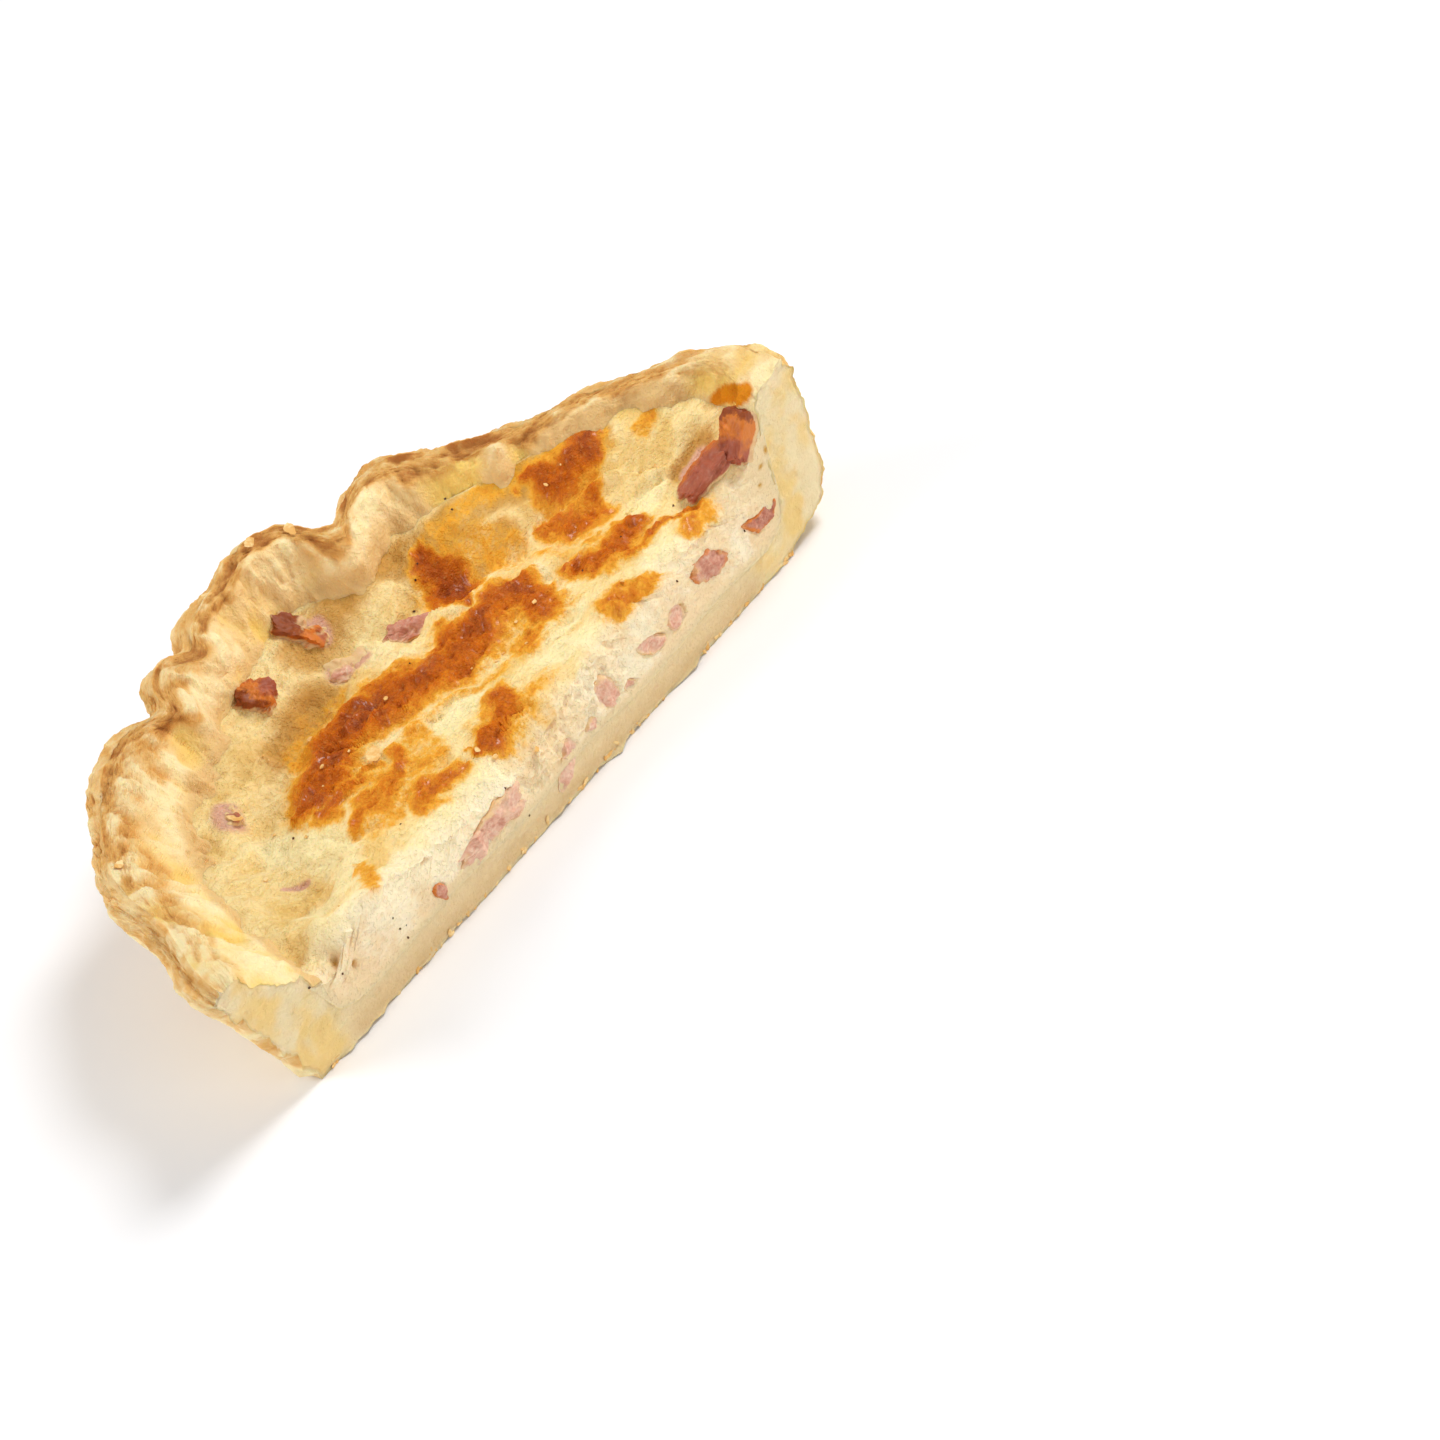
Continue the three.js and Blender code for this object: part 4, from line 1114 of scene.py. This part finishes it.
# Size across, along and up, centre, turn about Z, lean about the piece's own X, how brown it
# is, which way that browning grows along it, and how much of the other end the filling coats.
HAM_DICE = {
    "ham_top_back": ((3.8, 7.0, 3.6), (2.5, 40.7, 13.6), 26, 31, 1.35, (0, 1, 0.2), 0.1),
    "ham_top_left": ((4.3, 4.9, 4.0), (-9.4, 37.5, 13.7), 35, 12, 1.1, (-1, 1, 0), 0.0),
    "ham_top_middle": ((6.4, 3.0, 2.4), (10.0, 28.8, 11.2), -40, 20, 0.2, (-1, 0, 0), 0.25),
    "ham_top_sunk": ((5.6, 3.6, 2.4), (2.2, 33.2, 10.1), -29, 18, 0.0, (0, -1, 0), 0.8),
    "ham_top_corner": ((3.4, 3.0, 2.4), (-26.2, 28.0, 11.9), 60, 0, 0.35, (0, 1, 0), 0.3),
    "ham_top_right": ((3.8, 8.0, 2.4), (42.6, 4.5, 16.6), -119, 30, 0.42, (-1, 0.5, 0), 0.22),
    "ham_rim_right": ((4.0, 6.6, 3.4), (47.2, 1.7, 19.6), -88, 50, 1.0, (0, 1, 0), 0.0),
}
# How much of a ball is mixed into the cube of a die, and rows of its grid.
HAM_ROUND = 0.46
DICE_STEPS = 34
# Of a sliced die: depth into the filling, rings of its cut and points round them.
CUT_DEPTH = 3.4
CUT_RINGS = 30
CUT_POINTS = 120
# Slices whose edge browned before the dice sank in.
BROWN_EDGED = {"ham_cut_2": 0.5, "ham_cut_1": 0.7, "ham_cut_10": 0.6}

HAM_PINK = linear(216, 154, 130)
HAM_PALE = linear(237, 202, 174)
HAM_RED = linear(164, 84, 58)
HAM_BROWN = linear(208, 118, 40)
HAM_CHAR = linear(140, 66, 24)
HAM_FILM = linear(232, 196, 142)

ham_look = {
    "Subsurface Weight": 0.2, "Subsurface Radius": (1.0, 0.4, 0.3), "Subsurface Scale": 0.0015,
    "Specular IOR Level": 0.3,
}
ham_material, ham_shader, place = new_material("cooked_ham", ham_look)
brown, blush, film = (place.attribute(name) for name in ("brown", "blush", "film"))
fibre = place.noise(1.2, 4.0, 0.6)
strand = place.noise(0.4, 3.0, 0.6)
meat = (fibre * 0.6 + strand * 0.4 + blush.swing(0.5)).between(0.30, 0.66).mix(HAM_PALE, HAM_PINK)
meat = (blush - 0.5 + fibre.swing(0.3)).between(0.0, 0.30).mix(meat, HAM_RED)
roast = (brown + fibre.swing(0.6)).between(0.22, 0.62).mix(meat, HAM_BROWN)
roast = (brown + strand.swing(0.7)).between(0.72, 1.15).mix(roast, HAM_CHAR)
coated = (film + fibre.swing(0.6) + strand.swing(0.3)).between(0.2, 1.0)
colour = coated.mix(roast, HAM_FILM)
roughness, relief = 0.5 + fibre.swing(0.3), fibre * 0.6 + strand * 0.4
finish_material(place, ham_shader, colour, roughness, relief, strength=0.5, distance=0.3)


def turned(points, degrees_z, degrees_x):
    """Points leaned about X and then turned about Z."""
    a, b = np.radians(degrees_z), np.radians(degrees_x)
    lean = np.array([(1, 0, 0), (0, np.cos(b), -np.sin(b)), (0, np.sin(b), np.cos(b))])
    turn = np.array([(np.cos(a), -np.sin(a), 0), (np.sin(a), np.cos(a), 0), (0, 0, 1)])
    return points @ (turn @ lean).T


def ball_grid(steps):
    """Directions on a ball, rows from its lowest point up and columns once round it."""
    rise = np.linspace(-np.pi / 2, np.pi / 2, steps + 1)[:, None]
    turn = np.linspace(0, 2 * np.pi, 2 * steps + 1)
    level = np.cos(rise)
    return np.stack([level * np.cos(turn), level * np.sin(turn), np.sin(rise) + 0 * turn], -1)


def tube_links(grid):
    """Closes a tube: its first and last columns are one, and each end row is one point."""
    pairs = ((np.s_[:, -1], np.s_[:, 0]), (np.s_[0, :], np.s_[0, 0]), (np.s_[-1, :], np.s_[-1, 0]))
    return [(grid, key, grid, other_key) for key, other_key in pairs]


direction = ball_grid(DICE_STEPS)
for seed, (name, die) in enumerate(HAM_DICE.items()):
    size, centre, turn_z, lean_x, browning, towards, coated_end = die
    cube = direction / np.abs(direction).max(-1, keepdims=True) / 2
    body = cube * (1 - HAM_ROUND) + 0.62 * direction * HAM_ROUND
    body = body * (1 + 0.13 * grain(body * 6 + seed * 7.1, 1.6, 201 + seed, 4)[..., None])
    body = turned(body * np.array(size), turn_z, lean_x) + np.array(centre)
    body = body + 0.30 * grain(body, 1.1, 221 + seed, 3)[..., None] * direction
    body = body + 0.15 * grain(body, 0.5, 231 + seed, 2)[..., None] * direction
    body[..., 1] = np.maximum(body[..., 1], 0.05)
    corner = smooth((np.linalg.norm(cube, axis=-1) - 0.55) / 0.25)
    above = body[..., 2] - filling_height(body[..., 0], body[..., 1])
    outer_end = 2 * cube @ (np.array(towards) / np.linalg.norm(towards))
    dark = browning * (0.55 + 0.2 * corner + 0.5 * outer_end + 0.25 * grain(body, 1.8, 251 + seed, 3))
    coat = 0.75 * (1 - smooth(above / 0.6)) + coated_end * smooth(0.5 - 0.9 * outer_end)
    paints = {"brown": (dark,), "blush": (0.55 + 0.5 * browning,), "film": (coat,)}
    piece = solid_mesh(name + "_cooked", [(body, False)], tube_links(0), paints, ham_material)
    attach(piece, "root")
    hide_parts(name)

# Along a sliced die from the cut inwards: how far out its rings lie and how deep.
back_rows = np.linspace(0, 1, 8)[1:] * np.pi / 2
out = np.concatenate([np.linspace(0, 0.97, CUT_RINGS), [1.0], np.cos(back_rows)])
depth = np.concatenate([np.zeros(CUT_RINGS), [0.3], 0.5 + (CUT_DEPTH - 0.5) * np.sin(back_rows)])
front = smooth((0.97 - out)[:, None] / 0.2)
rim = smooth((out - 0.5) / 0.45)[:, None]
for seed, (name, outline) in enumerate(HAM_CUTS.items()):
    curve = closed_curve(outline, CUT_POINTS)
    curve = np.concatenate([curve, curve[:1]])
    middle = curve[:-1].mean(0)
    raggedness = 1.05 + 0.24 * grain(in_plane(*curve.T), 1.6, 261 + seed, 4)
    flat = middle + out[:, None, None] * ((curve - middle) * raggedness[:, None])
    body = np.stack([flat[..., 0], depth[:, None] + 0 * flat[..., 0], flat[..., 1]], -1)
    body[..., 1] += front * (0.40 * grain(body, 1.3, 241 + seed, 4) + 0.02) + (1 - front) * 0.16
    edge = BROWN_EDGED.get(name, 0.0)
    below = smooth((floor_height(body[..., 0]) + 0.4 - body[..., 2]) / 0.6)
    body[..., 1] -= 0.25 * below * (body[..., 1] < 1.2)
    coat = 0.6 * rim * (1 - edge) + 0.05 + 0.35 * grain(body, 1.8, 281 + seed, 3)
    paints = {"brown": (edge * rim,), "blush": (0.45 + 0.32 * edge,), "film": (coat,)}
    piece = solid_mesh(name + "_cooked", [(body, False)], tube_links(0), paints, ham_material)
    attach(piece, "root")
    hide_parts(name)

# ---- Pastry flakes and crumbs -------------------------------------------------------
# Thin shards of the rim's browned layers and small crumbs of dough, which broke off under the
# knife and lie loose on the crest, on the filling and along the lower edge of the cut.

# Flakes on the filling: place (x, y), length, width, turn and lift of one edge in degrees.
FLAKES = (
    (-11.3, 17.0, 2.6, 1.9, 30, 14), (-26.2, 26.4, 2.0, 1.4, 80, 24), (-10.2, 29.1, 0.9, 0.7, 10, 10),
    (-0.9, 0.6, 1.0, 0.6, 40, 20), (-6.0, 4.6, 1.1, 0.6, 55, 10), (-5.2, 3.0, 0.8, 0.6, 10, 10),
    (16.4, 12.4, 0.9, 0.5, 20, 10), (22.6, 3.0, 0.8, 0.5, 60, 10), (-15.0, 22.2, 0.7, 0.5, 0, 10),
    (33.0, 22.4, 0.8, 0.5, 70, 10), (-3.2, 21.2, 0.8, 0.5, 35, 10), (-31.2, 18.4, 0.9, 0.6, 20, 10),
)
FLAKE_GRID = 8
CRUMB_NUMBER = 18
# Flakes on the crest: degrees from the right end, share of the inner skin, length, width,
# turn and lift.
CREST_FLAKES = (
    (77, 0.97, 2.2, 1.3, 40, 20), (83, 0.96, 1.6, 1.0, 10, 16),
    (94, 0.985, 1.4, 0.8, 150, 20), (150, 0.96, 1.3, 0.9, 10, 16),
)
EDGE_SHARDS = 90
UP = np.array([0, 0, 1.0])


def on_filling(x, y, gap=0.0):
    """The point above (x, y) that lies that far over the top of the filling."""
    return np.array([x, y, filling_height(np.array(x), np.array(y)) + gap])


def flake(place, normal, length, width, turn, lift, seed):
    """A curled shard: a disc-like plate with a ragged outline and rounded rim, made from a
    flattened ball, lying on a surface with that normal and lifted at one edge."""
    ball = ball_grid(FLAKE_GRID)
    outline = 1 + 0.35 * grain(ball[..., :2].repeat(2, -1)[..., :3] + seed, 0.8, 300 + seed, 2)
    x, y = ball[..., 0] * outline * length / 2, ball[..., 1] * outline * width / 2
    flatness = 0.13 + 0.05 * grain(ball + seed, 0.7, 320 + seed, 1)
    curl = 0.35 * (x / length) ** 2 * length
    z = ball[..., 2] * flatness + curl + np.tan(np.radians(lift)) * (y + width / 2)
    a = np.radians(turn)
    side = np.cross(np.array([-np.sin(a), np.cos(a), 0.0]), normal)
    side = side / np.linalg.norm(side)
    axes = np.stack([side, np.cross(normal, side), normal])
    return np.stack([x, y, z], -1) @ axes + place


rng = np.random.default_rng(17)
pieces = []
for number, (x, y, length, width, turn_z, lift) in enumerate(FLAKES):
    pieces.append(flake(on_filling(x, y, 0.15), UP, length, width, turn_z, lift, number))
for number, (degrees, share, length, width, turn_z, lift) in enumerate(CREST_FLAKES):
    angle = np.radians(degrees)
    radius, height = inner_skin(np.array(share), np.array(angle))
    at = np.array([radius * np.cos(angle), radius * np.sin(angle), height + 0.15])
    normal = np.array([-0.35 * np.cos(angle), -0.35 * np.sin(angle), 0.94])
    pieces.append(flake(at, normal, length, width, turn_z, lift, 20 + number))
for number in range(EDGE_SHARDS):
    along = rng.uniform(-46, 49)
    at = np.array([along, rng.uniform(0.0, 0.2), abs(rng.normal(0, 0.3)) + 0.12])
    normal = np.array([rng.normal(0, 0.25), -0.9, rng.uniform(-0.2, 0.5)])
    normal = normal / np.linalg.norm(normal)
    length, width = rng.uniform(0.5, 1.3), rng.uniform(0.3, 0.7)
    turn_z, lift = rng.uniform(-25, 25), rng.uniform(0, 14)
    pieces.append(flake(at, normal, length, width, turn_z, lift, 120 + number))
for number in range(CRUMB_NUMBER):
    angle, out = rng.uniform(0.03, 0.97) * np.pi, rng.uniform(0.35, 0.97)
    x, y = out * 46 * np.cos(angle), out * 38 * np.sin(angle)
    size = rng.uniform(0.25, 0.6)
    pieces.append(flake(on_filling(x, y, 0.05), UP, size, size * 0.8, 0, 0, 300 + number))
pieces = [np.concatenate([p[..., :2], np.maximum(p[..., 2:], 0.02)], -1) for p in pieces]

FLAKE_GOLD = linear(228, 174, 96)
FLAKE_PALE = linear(246, 218, 158)
flake_material, flake_shader, place = new_material("pastry_flakes", {"Specular IOR Level": 0.2})
tone = place.noise(1.6, 3.0, 0.6)
fine = place.noise(0.3, 2.0, 0.5)
flake_colour = (tone + fine.swing(0.3)).between(0.38, 0.7).mix(FLAKE_GOLD, FLAKE_PALE)
roughness = 0.6 + fine.swing(0.2)
finish_material(place, flake_shader, flake_colour, roughness, fine, strength=0.4, distance=0.1)
links = [link for number in range(len(pieces)) for link in tube_links(number)]
flakes = solid_mesh("pastry_flakes", [(p, False) for p in pieces], links, {}, flake_material)
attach(flakes, "root")

# ---- Pepper -------------------------------------------------------------------------
# Coarsely ground black pepper, stirred into the filling: a few dark grains lie in the top and
# in the face of the cut.

# Places of the grains: (x, y) in the top, and (x, z) in the cut.
PEPPER_TOP = ((-18.7, 6.9), (10.7, 37.8), (17.8, 32.8), (16.0, 32.1), (12.8, 30.6), (25.2, 31.8),
              (26.0, 33.3), (23.6, 10.4), (30.0, 9.0), (-24.6, 19.5), (3.4, 22.9), (37.6, 6.6))
PEPPER_CUT = ((28.3, 12.0), (-6.0, 3.5), (-15.3, 7.8), (-28.5, 6.5), (-29.7, 9.0), (-29.6, 7.0),
              (-29.0, 5.0), (-43.4, 12.0), (-7.3, 10.4), (-38.9, 8.8), (41.6, 9.2))
GRAIN_STEPS = 6


def on_cut(x, z):
    """The point of the custard's cut that lies nearest to (x, z), seen from the front."""
    nearest = np.hypot(face[..., 0] - x, face[..., 2] - z).argmin()
    return face.reshape(-1, 3)[nearest]


places = [on_filling(x, y) for x, y in PEPPER_TOP] + [on_cut(x, z) for x, z in PEPPER_CUT]
ball = ball_grid(GRAIN_STEPS)
grains = []
for number, place_of_grain in enumerate(places):
    shape = ball * (1 + 0.3 * grain(ball + number, 0.8, 400 + number, 2))[..., None]
    grains.append(shape * rng.uniform(0.09, 0.20, 3) + place_of_grain)

PEPPER_DARK = linear(70, 46, 30)
PEPPER_BROWN = linear(110, 76, 46)
pepper_material, pepper_shader, place = new_material("black_pepper", {"Specular IOR Level": 0.3})
tone = place.noise(0.25, 2.0, 0.5)
pepper_colour = tone.between(0.4, 0.65).mix(PEPPER_DARK, PEPPER_BROWN)
roughness = 0.7 + tone * 0.1
finish_material(place, pepper_shader, pepper_colour, roughness, tone, strength=0.4, distance=0.05)
links = [link for number in range(len(grains)) for link in tube_links(number)]
pepper = solid_mesh("black_pepper", [(g, False) for g in grains], links, {}, pepper_material)
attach(pepper, "root")
